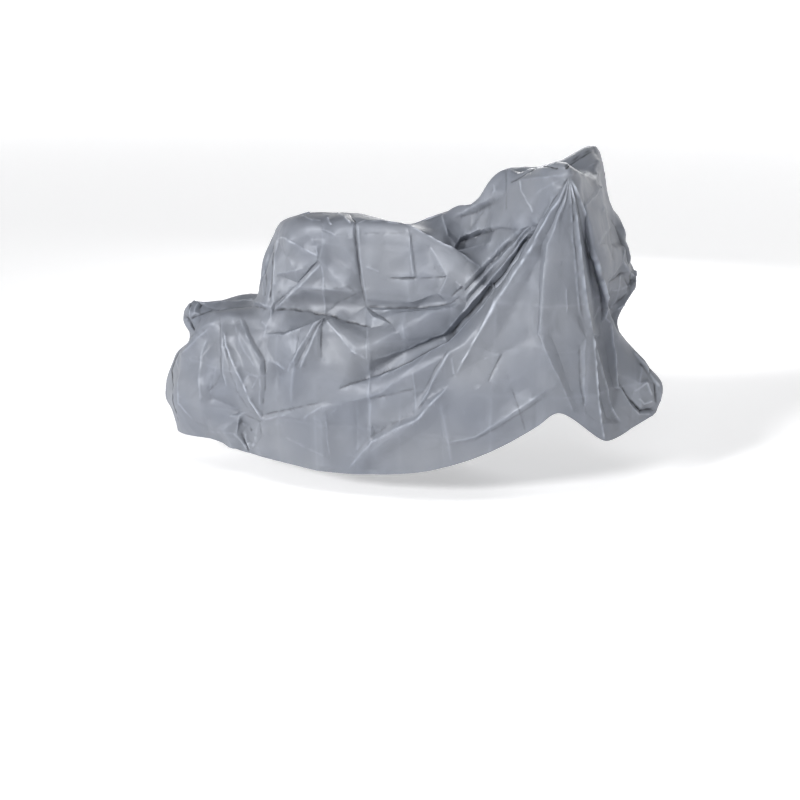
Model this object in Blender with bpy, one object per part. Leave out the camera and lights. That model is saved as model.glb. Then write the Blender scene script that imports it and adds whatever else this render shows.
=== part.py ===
"""Bicycle cover of thin silver-grey film, draped as a long hood, open underneath.

Metres, +Z up, +X towards the front, +Y towards the far side. The row's origin is the point of
support under the top of the front. The tables below are in centimetres, in a frame of their own:
X from the middle of the length, Y from the middle plane, Z from the ground.

The film is a net of stations, from the rear to the front, and levels, from the spine down to the
hem. A smooth surface runs through the net, the folds are raised on it and sunk into it, and it is
then given its thickness.
"""

import bpy
import numpy as np

CM = 0.01
MM = 0.001
UP = (0.0, 0.0, 1.0)

SHEET_THICKNESS = 2.5 * MM
SUPPORT_CM = (57.0, 0.0, 124.5)

SILVER_GREY = (0.30, 0.33, 0.38, 1.0)
FILM_ROUGHNESS = 0.38

LEVELS = ("spine", "shoulder", "flank", "waist", "hip", "belly", "hem")
CELLS_BELOW_LEVEL = {"spine": 4, "shoulder": 4, "flank": 3, "waist": 3, "hip": 4, "belly": 4}

# One row for each station of the near side. "cells" counts the mesh columns up to the next station,
# and the other columns are the (x, y, z) of the station's point at each level.
STATION_COLUMNS = ("name", "cells") + LEVELS
NEAR_STATIONS = (
    ("rear seam", 3, (-96.5, 0, 68.3), (-100.5, 0, 65), (-101.5, 0, 60), (-97, 0, 54),
     (-104.5, 0, 44), (-109.5, 0, 28), (-106.5, 0, 11)),
    ("rear round", 4, (-90, 0, 68), (-92, -8, 63), (-93, -10, 58), (-93, -12, 52.5),
     (-97, -14, 44), (-102, -16, 30), (-98, -13, 13)),
    ("tail peak", 4, (-79, 0, 68.8), (-77, -16, 67), (-76, -19, 63), (-77, -22, 56),
     (-80, -25, 45), (-83, -26, 31), (-83, -20, 14)),
    ("hump foot", 4, (-69, 0, 70), (-61, -20, 69), (-60, -23, 65), (-59, -27, 59),
     (-59, -30, 48), (-60, -30, 31), (-65, -24, 11)),
    ("hump rear", 4, (-64.5, 0, 88.5), (-54, -16, 91), (-51, -19, 82), (-48, -22, 73.5),
     (-46, -29, 66), (-44, -34, 42), (-48, -31, 11)),
    ("hump corner", 5, (-57, 0, 102.3), (-45, -17, 102.5), (-41, -20, 88), (-38, -22, 75),
     (-33, -30, 66), (-30, -36, 40), (-32, -34, 10)),
    ("hump middle", 5, (-30, 0, 106.5), (-23, -18, 105.5), (-21, -21, 88), (-18, -23, 75.5),
     (-15, -30, 66), (-13, -37, 40), (-12, -36, 11)),
    ("dip rear", 4, (-7, 0, 103.5), (-2, -18, 105.5), (0, -22, 89), (3, -24, 76.5),
     (6, -31, 66), (8, -38, 42), (9, -37, 14)),
    ("dip front", 4, (10, 0, 108), (17, -19, 99), (19, -24, 90), (22, -26, 79),
     (23, -32, 67), (26, -38, 45), (28, -37, 20.5)),
    ("valley", 5, (24, 0, 114.5), (30, -20, 92.5), (32, -26, 87), (34, -28, 81),
     (36, -33, 69), (39, -37, 49), (42, -37, 28)),
    ("front rise", 6, (33, 0, 126), (43, -20, 119), (45, -27, 105), (47, -30, 90),
     (49, -33, 74), (50, -36, 56), (53, -36, 35.5)),
    ("front tip", 4, (57, 0, 126), (60, -31, 130), (60, -33, 110), (59, -33, 93),
     (59, -34, 77), (60, -35, 60), (60, -35, 41)),
    ("fan front", 3, (65, 0, 125), (63.5, -29, 124), (66, -27, 103), (68, -26, 86),
     (70, -26, 72), (73, -27, 54), (78, -24, 28)),
    ("fan trough", 3, (66.5, 0, 124), (65, -25, 120), (68, -20, 100), (70, -16, 83),
     (73, -16, 70), (77, -19, 50), (82, -18, 28)),
    ("fan ridge", 4, (68, 0, 123), (67, -24, 114), (71, -19, 94), (75.5, -11, 76),
     (79, -10, 65), (83, -14, 47), (87, -13, 30)),
    ("front seam", 0, (70, 0, 120), (73.5, 0, 106), (76.5, 0, 87), (74, 0, 70),
     (82.6, 0, 61.5), (97.5, 0, 43), (96.5, 0, 33.5)),
)

# The far side mirrors the near side, except at these points.
FAR_COLUMNS = ("station", "level", "point")
FAR_POINTS = (
    ("hump rear", "shoulder", (-59, 16, 90)),
    ("hump corner", "shoulder", (-51, 17, 99)),
    ("hump middle", "shoulder", (-27, 18, 102)),
    ("dip rear", "shoulder", (-6, 17, 100)),
    ("dip front", "shoulder", (13, 15, 106)),
    ("dip front", "flank", (17, 22, 93)),
    ("valley", "shoulder", (27, 17, 109)),
    ("valley", "flank", (31, 24, 97)),
    ("front rise", "shoulder", (44, 20, 112)),
    ("front rise", "flank", (45, 27, 104)),
    ("front tip", "shoulder", (65.5, 33, 131)),
    ("front tip", "flank", (64, 35, 111)),
    ("front tip", "waist", (62, 35, 93)),
    ("fan front", "shoulder", (68, 32, 125.5)),
    ("fan front", "flank", (69.5, 33.5, 108)),
    ("fan front", "waist", (73, 33, 88)),
    ("fan front", "hip", (71, 29, 72)),
    ("fan trough", "shoulder", (68.5, 27, 121)),
    ("fan trough", "flank", (74.5, 31, 100)),
    ("fan trough", "waist", (81, 29, 83)),
    ("fan trough", "hip", (72, 20, 71)),
    ("fan ridge", "shoulder", (69, 16, 119)),
    ("fan ridge", "flank", (79, 22, 95)),
    ("fan ridge", "waist", (85, 20, 80.5)),
    ("fan ridge", "hip", (72, 12, 69)),
)

# Each face of the cover: the two axes that a fold's line is drawn on, and the way the face looks.
FACES = {
    "near": ((0, 2), (0, -1, 0)),
    "far": ((0, 2), (0, 1, 0)),
    "front": ((1, 2), (1, 0, 0)),
    "rear": ((1, 2), (-1, 0, 0)),
    "top": ((0, 1), (0, 0, 1)),
}

# One row for each main fold. "rise" is the height of its crest over the surface, or below zero the
# depth of its trough, and "reach" its half width, both in millimetres. It grows from nothing over
# the share "start" of its line and dies away over the share "end". The line is in centimetres.
FOLD_COLUMNS = ("name", "face", "rise", "reach", "start", "end", "line")
FOLDS = (
    # near side, from the front tip down to the belly
    ("main diagonal", "near", -42, 40, .1, .3,
     ((46, 104), (29, 80), (20, 70), (1, 61), (-13, 51), (-26, 44))),
    ("lower bank", "near", 24, 42, .3, .3, ((36, 80), (26, 65), (10, 55), (-8, 45))),
    ("upper bank", "near", 20, 36, .3, .3, ((22, 84), (8, 71), (-8, 63), (-25, 56))),
    ("upper fan trough", "near", -38, 32, .3, .2, ((51, 114), (38, 95), (30, 81))),
    ("second fan trough", "near", -26, 32, .3, .2, ((43, 110), (34, 98), (28, 87))),
    ("fan rib", "near", 18, 32, .3, .3, ((47, 111), (37, 99), (30, 87))),
    ("tip trough", "near", -24, 32, .2, .2, ((59, 127), (54, 118), (49, 110))),
    ("left ridge", "near", 28, 32, .1, .3, ((59, 126), (53, 113), (44, 96), (36, 79), (28, 62))),
    ("middle ridge", "near", 20, 32, .1, .3, ((60, 126), (55, 103), (53, 80), (56, 56))),
    ("middle trough", "near", -26, 34, .2, .3, ((60, 118), (60, 95), (60, 76), (63, 58))),
    ("front drape", "near", 12, 32, .3, .2, ((29, 29), (46, 41), (56, 50))),
    # near side, hump and belly
    ("hump base", "near", -13, 32, .2, .2,
     ((27, 84), (20, 80), (6, 77), (-18, 75.5), (-43, 75), (-53, 72))),
    ("under hump", "near", -14, 32, .3, .3, ((-46, 74), (-32, 73), (-20, 70), (-10, 66))),
    ("hump star a", "near", 14, 32, .1, .1, ((-50, 99), (-35, 92), (-18, 77))),
    ("hump star b", "near", 14, 32, .1, .1, ((-36, 100), (-35, 92), (-50, 75))),
    ("hump panel", "near", -14, 32, .2, .2, ((-20, 102), (-19, 90), (-16, 78))),
    ("belly star a", "near", 16, 32, .1, .3, ((-32, 71), (-40, 51))),
    ("belly star b", "near", 16, 32, .1, .3, ((-30, 71), (-13, 57))),
    ("lower fold", "near", 18, 32, .3, .2, ((-22, 11), (-5, 26), (9, 37), (20, 50))),
    ("hem fold a", "near", 12, 34, .3, .1, ((-30, 40), (-30, 10))),
    ("hem fold b", "near", -10, 34, .3, .1, ((-14, 45), (-10, 10))),
    # near side, rear end
    ("shelf ridge", "near", 16, 32, .3, .4, ((-44, 68), (-42, 54), (-44, 36))),
    ("rear ridge a", "near", 24, 32, .2, .4, ((-75, 66), (-86, 60), (-96, 48), (-99, 36))),
    ("rear trough ab", "near", -20, 32, .3, .4, ((-79, 60), (-86, 50), (-87, 38))),
    ("rear ridge b", "near", 28, 32, .2, .3, ((-75, 65), (-74, 56), (-69, 46), (-60, 32))),
    ("rear trough bc", "near", -18, 32, .3, .4, ((-72, 60), (-66, 51), (-61, 42))),
    ("rear ridge c", "near", 24, 32, .2, .3, ((-71, 65), (-62, 57), (-55, 47), (-54, 38))),
    ("rear trough cd", "near", -22, 32, .3, .4, ((-60, 64), (-51, 53), (-49, 40))),
    ("rear arc", "near", -16, 32, .3, .2, ((-86, 32), (-80, 34), (-71, 31), (-66, 27))),
    ("gather hollow", "near", -24, 32, .2, .1, ((-70, 26), (-66, 21), (-64, 15))),
    ("gather fold", "near", 24, 32, .2, .1, ((-76, 24), (-73, 18), (-72, 12))),
    ("gather lip", "near", 22, 32, .2, .1, ((-59, 30), (-60, 20), (-58, 11))),
    # top, front and rear
    ("pocket", "top", -50, 50, .5, .3, ((10, -9), (21, -12), (31, -14))),
    ("rise hollow", "top", -22, 45, .1, .1, ((21, -20), (20.5, 0), (20, 18))),
    ("pocket lip", "top", 22, 36, .3, .3, ((10, 2), (24, -2), (34, -6))),
    ("top slit", "top", -16, 34, .2, .2, ((36, -6), (46, -3), (56, -6))),
    ("tip dip", "top", -26, 55, .3, .3, ((62, -16), (62, 2), (64, 16))),
    ("front panel", "front", -22, 60, .2, .2, ((-8, 116), (-2, 98), (2, 80))),
    ("lobe ridge", "front", 18, 36, .2, .2, ((30, 110), (22, 95), (12, 82))),
    ("lobe trough", "front", -18, 34, .2, .2, ((27, 98), (20, 86), (17, 78))),
    ("rear groove", "rear", -16, 32, .2, .2, ((-6, 98), (-8, 88), (-4, 76))),
    ("rear rim", "rear", 14, 32, .2, .2, ((-2, 52), (-5, 38), (-3, 20))),
    # far side
    ("far diagonal", "far", -36, 40, .1, .3,
     ((56, 110), (36, 84), (16, 68), (-6, 56), (-24, 48))),
    ("far bank", "far", 22, 40, .3, .3, ((42, 80), (24, 63), (2, 50))),
    ("far tip ridge a", "far", 24, 32, .1, .3, ((65, 126), (57, 108), (47, 88), (40, 70))),
    ("far tip ridge b", "far", 24, 32, .1, .3, ((65, 126), (63, 98), (61, 72), (60, 50))),
    ("far tip trough", "far", -24, 32, .2, .3, ((64, 120), (58, 98), (54, 76), (52, 60))),
    ("far hump base", "far", -26, 32, .2, .2, ((20, 82), (2, 76), (-22, 76), (-50, 72))),
    ("far hump star a", "far", 14, 32, .1, .1, ((-46, 100), (-30, 88), (-10, 80))),
    ("far hump star b", "far", 14, 32, .1, .1, ((-24, 100), (-30, 88), (-46, 76))),
    ("far rear ridge a", "far", 24, 32, .2, .4, ((-76, 67), (-84, 58), (-92, 44), (-94, 30))),
    ("far rear ridge b", "far", 26, 32, .2, .3, ((-76, 66), (-74, 50), (-72, 32))),
    ("far rear ridge c", "far", 22, 32, .2, .3, ((-72, 66), (-60, 54), (-52, 36))),
    ("far hem fold a", "far", 16, 34, .3, .1, ((-34, 50), (-30, 30), (-34, 10))),
    ("far hem fold b", "far", -14, 34, .3, .1, ((-6, 46), (-10, 10))),
    ("far lower fold", "far", 16, 32, .3, .2, ((-10, 14), (10, 30), (30, 52))),
)

# How the smooth surface runs through its net.
SPLINE_TENSION = 0.1
CHORD_POWER = 0.75

# A fold is whole where the surface faces its way by more than FACING_FULL, and none below FACING_NONE.
FACING_NONE = -0.1
FACING_FULL = 0.4
SIDE_BLEND = 6 * CM


def clear_scene():
    """Remove every object of the scene."""
    for old in list(bpy.data.objects):
        bpy.data.objects.remove(old, do_unlink=True)


def station_rows():
    """The near stations as dictionaries, one for each row of the table."""
    return [dict(zip(STATION_COLUMNS, row)) for row in NEAR_STATIONS]


def control_net():
    """The net's points, station by station, from the near hem over the spine to the far hem."""
    rows = station_rows()
    names = [row["name"] for row in rows]
    near = np.array([[row[level] for level in LEVELS] for row in rows], float)
    far = near * (1, -1, 1)
    for row in FAR_POINTS:
        point = dict(zip(FAR_COLUMNS, row))
        far[names.index(point["station"]), LEVELS.index(point["level"])] = point["point"]
    return np.concatenate([near[:, :0:-1], far], axis=1) * CM


def spline(points, cells, before=None, after=None):
    """Cubic curve through points along the first axis, with cells[k] steps from point k to k + 1.

    before and after are the points that would follow beyond the two ends.
    """
    if before is None:
        before = 2 * points[0] - points[1]
        after = 2 * points[-1] - points[-2]
    chain = np.concatenate([before[None], points, after[None]])
    gaps = np.linalg.norm(np.diff(chain, axis=0), axis=-1, keepdims=True)
    gaps = np.maximum(gaps, 1e-6) ** CHORD_POWER
    slopes = np.diff(chain, axis=0) / gaps
    blended = (slopes[:-1] * gaps[1:] + slopes[1:] * gaps[:-1]) / (gaps[1:] + gaps[:-1])
    tangents = blended * (1 - SPLINE_TENSION)
    curve = []
    for k, count in enumerate(cells):
        t = (np.arange(count) / count).reshape((-1,) + (1,) * (points.ndim - 1))
        leave = (t ** 3 - 2 * t ** 2 + t) * gaps[k + 1] * tangents[k]
        arrive = (t ** 3 - t ** 2) * gaps[k + 1] * tangents[k + 1]
        ease = 3 * t ** 2 - 2 * t ** 3
        curve.append((1 - ease) * points[k] + ease * points[k + 1] + leave + arrive)
    curve.append(points[-1:])
    return np.concatenate(curve)


def smooth_surface():
    """Grid of surface points: columns from rear to front, rows from near hem to far hem."""
    down = [CELLS_BELOW_LEVEL[level] for level in LEVELS[:-1]]
    sections = spline(np.moveaxis(control_net(), 1, 0), down[::-1] + down)
    sections = np.moveaxis(sections, 0, 1)
    columns = [row["cells"] for row in station_rows()[:-1]]
    # beyond each seam the surface goes on as the other side's next section
    return spline(sections, columns, before=sections[1, ::-1], after=sections[-2, ::-1])


def outward_normals(grid):
    """Unit normals of the grid, pointing out of the cover."""
    ringed = np.concatenate([grid[1:2, ::-1], grid, grid[-2:-1, ::-1]])
    normals = np.cross(ringed[2:] - ringed[:-2], np.gradient(grid, axis=1))
    lengths = np.linalg.norm(normals, axis=-1, keepdims=True)
    # the ends of the spine, where the rows meet in one point, have no normal and take UP
    return np.where(lengths > 1e-12, normals / np.maximum(lengths, 1e-12), UP)


def place_on_line(points, line):
    """Each point's distance from a line of several legs, and the share of the line it is at."""
    lengths = np.linalg.norm(np.diff(line, axis=0), axis=1)
    distance = np.full(points.shape[:-1], np.inf)
    share = np.zeros(points.shape[:-1])
    walked = 0.0
    for start, end, length in zip(line[:-1], line[1:], lengths):
        t = np.clip((points - start) @ (end - start) / length ** 2, 0, 1)
        gap = np.linalg.norm(points - start - t[..., None] * (end - start), axis=-1)
        nearer = gap < distance
        distance = np.where(nearer, gap, distance)
        share = np.where(nearer, (walked + t * length) / lengths.sum(), share)
        walked += length
    return distance, share


def ease(value):
    """Smooth step from 0 to 1."""
    value = np.clip(value, 0, 1)
    return value * value * (3 - 2 * value)


def fold_lift(grid, normals, fold):
    """How far one fold lifts each point of the grid along its normal."""
    axes, outward = FACES[fold["face"]]
    distance, share = place_on_line(grid[..., axes], np.array(fold["line"], float) * CM)
    facing = (normals @ np.array(outward, float) - FACING_NONE) / (FACING_FULL - FACING_NONE)
    weight = np.clip(facing, 0, 1)
    if outward[1]:
        weight = weight * np.clip(grid[..., 1] * outward[1] / SIDE_BLEND, 0, 1)
    ends = ease(share / fold["start"]) * ease((1 - share) / fold["end"])
    return fold["rise"] * MM * weight * ends * np.exp(-(distance / (fold["reach"] * MM)) ** 2)


def folded_surface():
    """The smooth surface with its folds."""
    grid = smooth_surface()
    normals = outward_normals(grid)
    lift = sum(fold_lift(grid, normals, dict(zip(FOLD_COLUMNS, row))) for row in FOLDS)
    return grid + normals * lift[..., None]


def film_mesh(name):
    """One open sheet: the two sides are welded at the rear seam and the front seam."""
    grid = folded_surface()
    columns, rows = grid.shape[:2]
    number = np.arange(columns * rows).reshape(columns, rows)
    for seam in (0, columns - 1):
        number[seam] = np.minimum(number[seam], number[seam, ::-1])
    corners = np.stack([number[:-1, :-1], number[1:, :-1], number[1:, 1:], number[:-1, 1:]], -1)
    used, faces = np.unique(corners.reshape(-1), return_inverse=True)
    points = grid.reshape(-1, 3)[used] - np.array(SUPPORT_CM) * CM
    mesh = bpy.data.meshes.new(name)
    mesh.from_pydata(points.tolist(), [], faces.reshape(-1, 4).tolist())
    mesh.validate()
    mesh.shade_smooth()
    return mesh


def film_material():
    """Semi-gloss silver-grey plastic film."""
    material = bpy.data.materials.new("silver_grey_film")
    material.use_nodes = True
    shader = material.node_tree.nodes["Principled BSDF"]
    shader.inputs["Base Color"].default_value = SILVER_GREY
    shader.inputs["Roughness"].default_value = FILM_ROUGHNESS
    shader.inputs["Metallic"].default_value = 0.0
    return material


def make_cover():
    """The cover as one sheet, thickened inwards."""
    mesh = film_mesh("cover")
    mesh.materials.append(film_material())
    cover = bpy.data.objects.new("cover", mesh)
    bpy.context.collection.objects.link(cover)
    thicken = cover.modifiers.new("thickness", "SOLIDIFY")
    thicken.thickness = SHEET_THICKNESS
    thicken.offset = -1.0
    return cover


clear_scene()
make_cover()
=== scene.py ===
"""Bicycle cover of thin silver-grey film, draped as a long hood: the looks.

Metres, +Z up, in the row's frame, whose origin is the point of support under the top of the front.
The tables are in centimetres in a frame of their own: X from the middle of the length, Y from the
middle plane, Z from the ground. The film is one thin sheet on the solid's own net and folds, with
the facets and creases that the photograph shows, the folds of its packing, and random crumple.
"""

import math

import bpy
import numpy as np
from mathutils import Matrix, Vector
from mathutils.geometry import delaunay_2d_cdt


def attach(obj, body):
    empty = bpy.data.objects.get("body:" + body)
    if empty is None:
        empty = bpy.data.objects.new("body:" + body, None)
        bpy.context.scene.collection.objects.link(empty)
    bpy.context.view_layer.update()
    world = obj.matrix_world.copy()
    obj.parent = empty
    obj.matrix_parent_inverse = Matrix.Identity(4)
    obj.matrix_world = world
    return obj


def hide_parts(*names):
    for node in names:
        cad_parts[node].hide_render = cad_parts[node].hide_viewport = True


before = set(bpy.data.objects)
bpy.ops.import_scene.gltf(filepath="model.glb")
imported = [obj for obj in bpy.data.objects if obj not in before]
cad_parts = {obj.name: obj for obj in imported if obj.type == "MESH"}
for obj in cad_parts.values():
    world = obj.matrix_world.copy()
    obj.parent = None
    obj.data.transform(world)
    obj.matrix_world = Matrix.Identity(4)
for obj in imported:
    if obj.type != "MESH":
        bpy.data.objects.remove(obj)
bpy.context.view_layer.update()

CM = 0.01
MM = 0.001
UP = (0.0, 0.0, 1.0)

# The row's origin in the tables' frame.
SUPPORT_CM = (57.0, 0.0, 124.5)

# Fine rows of the sheet below each level, and fine columns for each of the stations' cells. The near
# side and the far side have the same.
ROWS_BELOW_LEVEL = {"spine": 50, "shoulder": 54, "flank": 40, "waist": 40, "hip": 58, "belly": 58}
COLUMNS_PER_CELL = 14

# The film is worked out on that fine grid and then thinned out, most where it is flat. The weight of
# the thinning is 1 in general and goes down by FINE_KEPT at the fine creases, in FINE_LEVELS steps.
# FINE_FACTOR is how much these weights count.
FILM_TRIANGLES = 196000
FINE_LEVELS = 4
FINE_KEPT = 0.5
FINE_FACTOR = 0.002
SHARP_ANGLE = math.radians(24)

LEVELS = ("spine", "shoulder", "flank", "waist", "hip", "belly", "hem")

# One row for each station of the near side. "cells" counts the cells up to the next station, and the
# other columns are the (x, y, z) of the station's point at each level.
STATION_COLUMNS = ("name", "cells") + LEVELS
NEAR_STATIONS = (
    ("rear seam", 3, (-96.5, 0, 68.3), (-100.5, 0, 65), (-101.5, 0, 60), (-97, 0, 54),
     (-104.5, 0, 44), (-109.5, 0, 28), (-106.5, 0, 11)),
    ("rear round", 4, (-90, 0, 68), (-92, -8, 63), (-93, -10, 58), (-93, -12, 52.5),
     (-97, -14, 44), (-102, -16, 30), (-98, -13, 13)),
    ("tail peak", 4, (-79, 0, 68.8), (-77, -16, 67), (-76, -19, 63), (-77, -22, 56),
     (-80, -25, 45), (-83, -26, 31), (-83, -20, 14)),
    ("hump foot", 4, (-69, 0, 70), (-61, -20, 69), (-60, -23, 65), (-59, -27, 59),
     (-59, -30, 48), (-60, -30, 31), (-65, -24, 11)),
    ("hump rear", 4, (-64.5, 0, 88.5), (-54, -16, 91), (-51, -19, 82), (-48, -22, 73.5),
     (-46, -29, 66), (-44, -34, 42), (-48, -31, 11)),
    ("hump corner", 5, (-57, 0, 102.3), (-45, -17, 102.5), (-41, -20, 88), (-38, -22, 75),
     (-33, -30, 66), (-30, -36, 40), (-32, -34, 10)),
    ("hump middle", 5, (-30, 0, 106.5), (-23, -18, 105.5), (-21, -21, 88), (-18, -23, 75.5),
     (-15, -30, 66), (-13, -37, 40), (-12, -36, 11)),
    ("dip rear", 4, (-7, 0, 103.5), (-2, -18, 105.5), (0, -22, 89), (3, -24, 76.5),
     (6, -31, 66), (8, -38, 42), (9, -37, 14)),
    ("dip front", 4, (10, 0, 108), (17, -19, 99), (19, -24, 90), (22, -26, 79),
     (23, -32, 67), (26, -38, 45), (28, -37, 20.5)),
    ("valley", 5, (24, 0, 114.5), (30, -20, 92.5), (32, -26, 87), (34, -28, 81),
     (36, -33, 69), (39, -37, 49), (42, -37, 28)),
    ("front rise", 6, (33, 0, 126), (43, -20, 119), (45, -27, 105), (47, -30, 90),
     (49, -33, 74), (50, -36, 56), (53, -36, 35.5)),
    ("front tip", 4, (57, 0, 126), (60, -31, 130), (60, -33, 110), (59, -33, 93),
     (59, -34, 77), (60, -35, 60), (60, -35, 41)),
    ("fan front", 3, (65, 0, 125), (63.5, -29, 124), (66, -27, 103), (68, -26, 86),
     (70, -26, 72), (73, -27, 54), (78, -24, 28)),
    ("fan trough", 3, (66.5, 0, 124), (65, -25, 120), (68, -20, 100), (70, -16, 83),
     (73, -16, 70), (77, -19, 50), (82, -18, 28)),
    ("fan ridge", 4, (68, 0, 123), (67, -24, 114), (71, -19, 94), (75.5, -11, 76),
     (79, -10, 65), (83, -14, 47), (87, -13, 30)),
    ("front seam", 0, (70, 0, 120), (73.5, 0, 106), (76.5, 0, 87), (74, 0, 70),
     (82.6, 0, 61.5), (97.5, 0, 43), (96.5, 0, 33.5)),
)

# The far side mirrors the near side, except at these points.
FAR_COLUMNS = ("station", "level", "point")
FAR_POINTS = (
    ("hump rear", "shoulder", (-59, 16, 90)),
    ("hump corner", "shoulder", (-51, 17, 99)),
    ("hump middle", "shoulder", (-27, 18, 102)),
    ("dip rear", "shoulder", (-6, 17, 100)),
    ("dip front", "shoulder", (13, 15, 106)),
    ("dip front", "flank", (17, 22, 93)),
    ("valley", "shoulder", (27, 17, 109)),
    ("valley", "flank", (31, 24, 97)),
    ("front rise", "shoulder", (44, 20, 112)),
    ("front rise", "flank", (45, 27, 104)),
    ("front tip", "shoulder", (65.5, 33, 131)),
    ("front tip", "flank", (64, 35, 111)),
    ("front tip", "waist", (62, 35, 93)),
    ("fan front", "shoulder", (68, 32, 125.5)),
    ("fan front", "flank", (69.5, 33.5, 108)),
    ("fan front", "waist", (73, 33, 88)),
    ("fan front", "hip", (71, 29, 72)),
    ("fan trough", "shoulder", (68.5, 27, 121)),
    ("fan trough", "flank", (74.5, 31, 100)),
    ("fan trough", "waist", (81, 29, 83)),
    ("fan trough", "hip", (72, 20, 71)),
    ("fan ridge", "shoulder", (69, 16, 119)),
    ("fan ridge", "flank", (79, 22, 95)),
    ("fan ridge", "waist", (85, 20, 80.5)),
    ("fan ridge", "hip", (72, 12, 69)),
)

# Each face of the cover: the two axes that a fold's line is drawn on, and the way the face looks.
FACES = {
    "near": ((0, 2), (0, -1, 0)),
    "far": ((0, 2), (0, 1, 0)),
    "front": ((1, 2), (1, 0, 0)),
    "rear": ((1, 2), (-1, 0, 0)),
    "top": ((0, 1), (0, 0, 1)),
}

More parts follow.
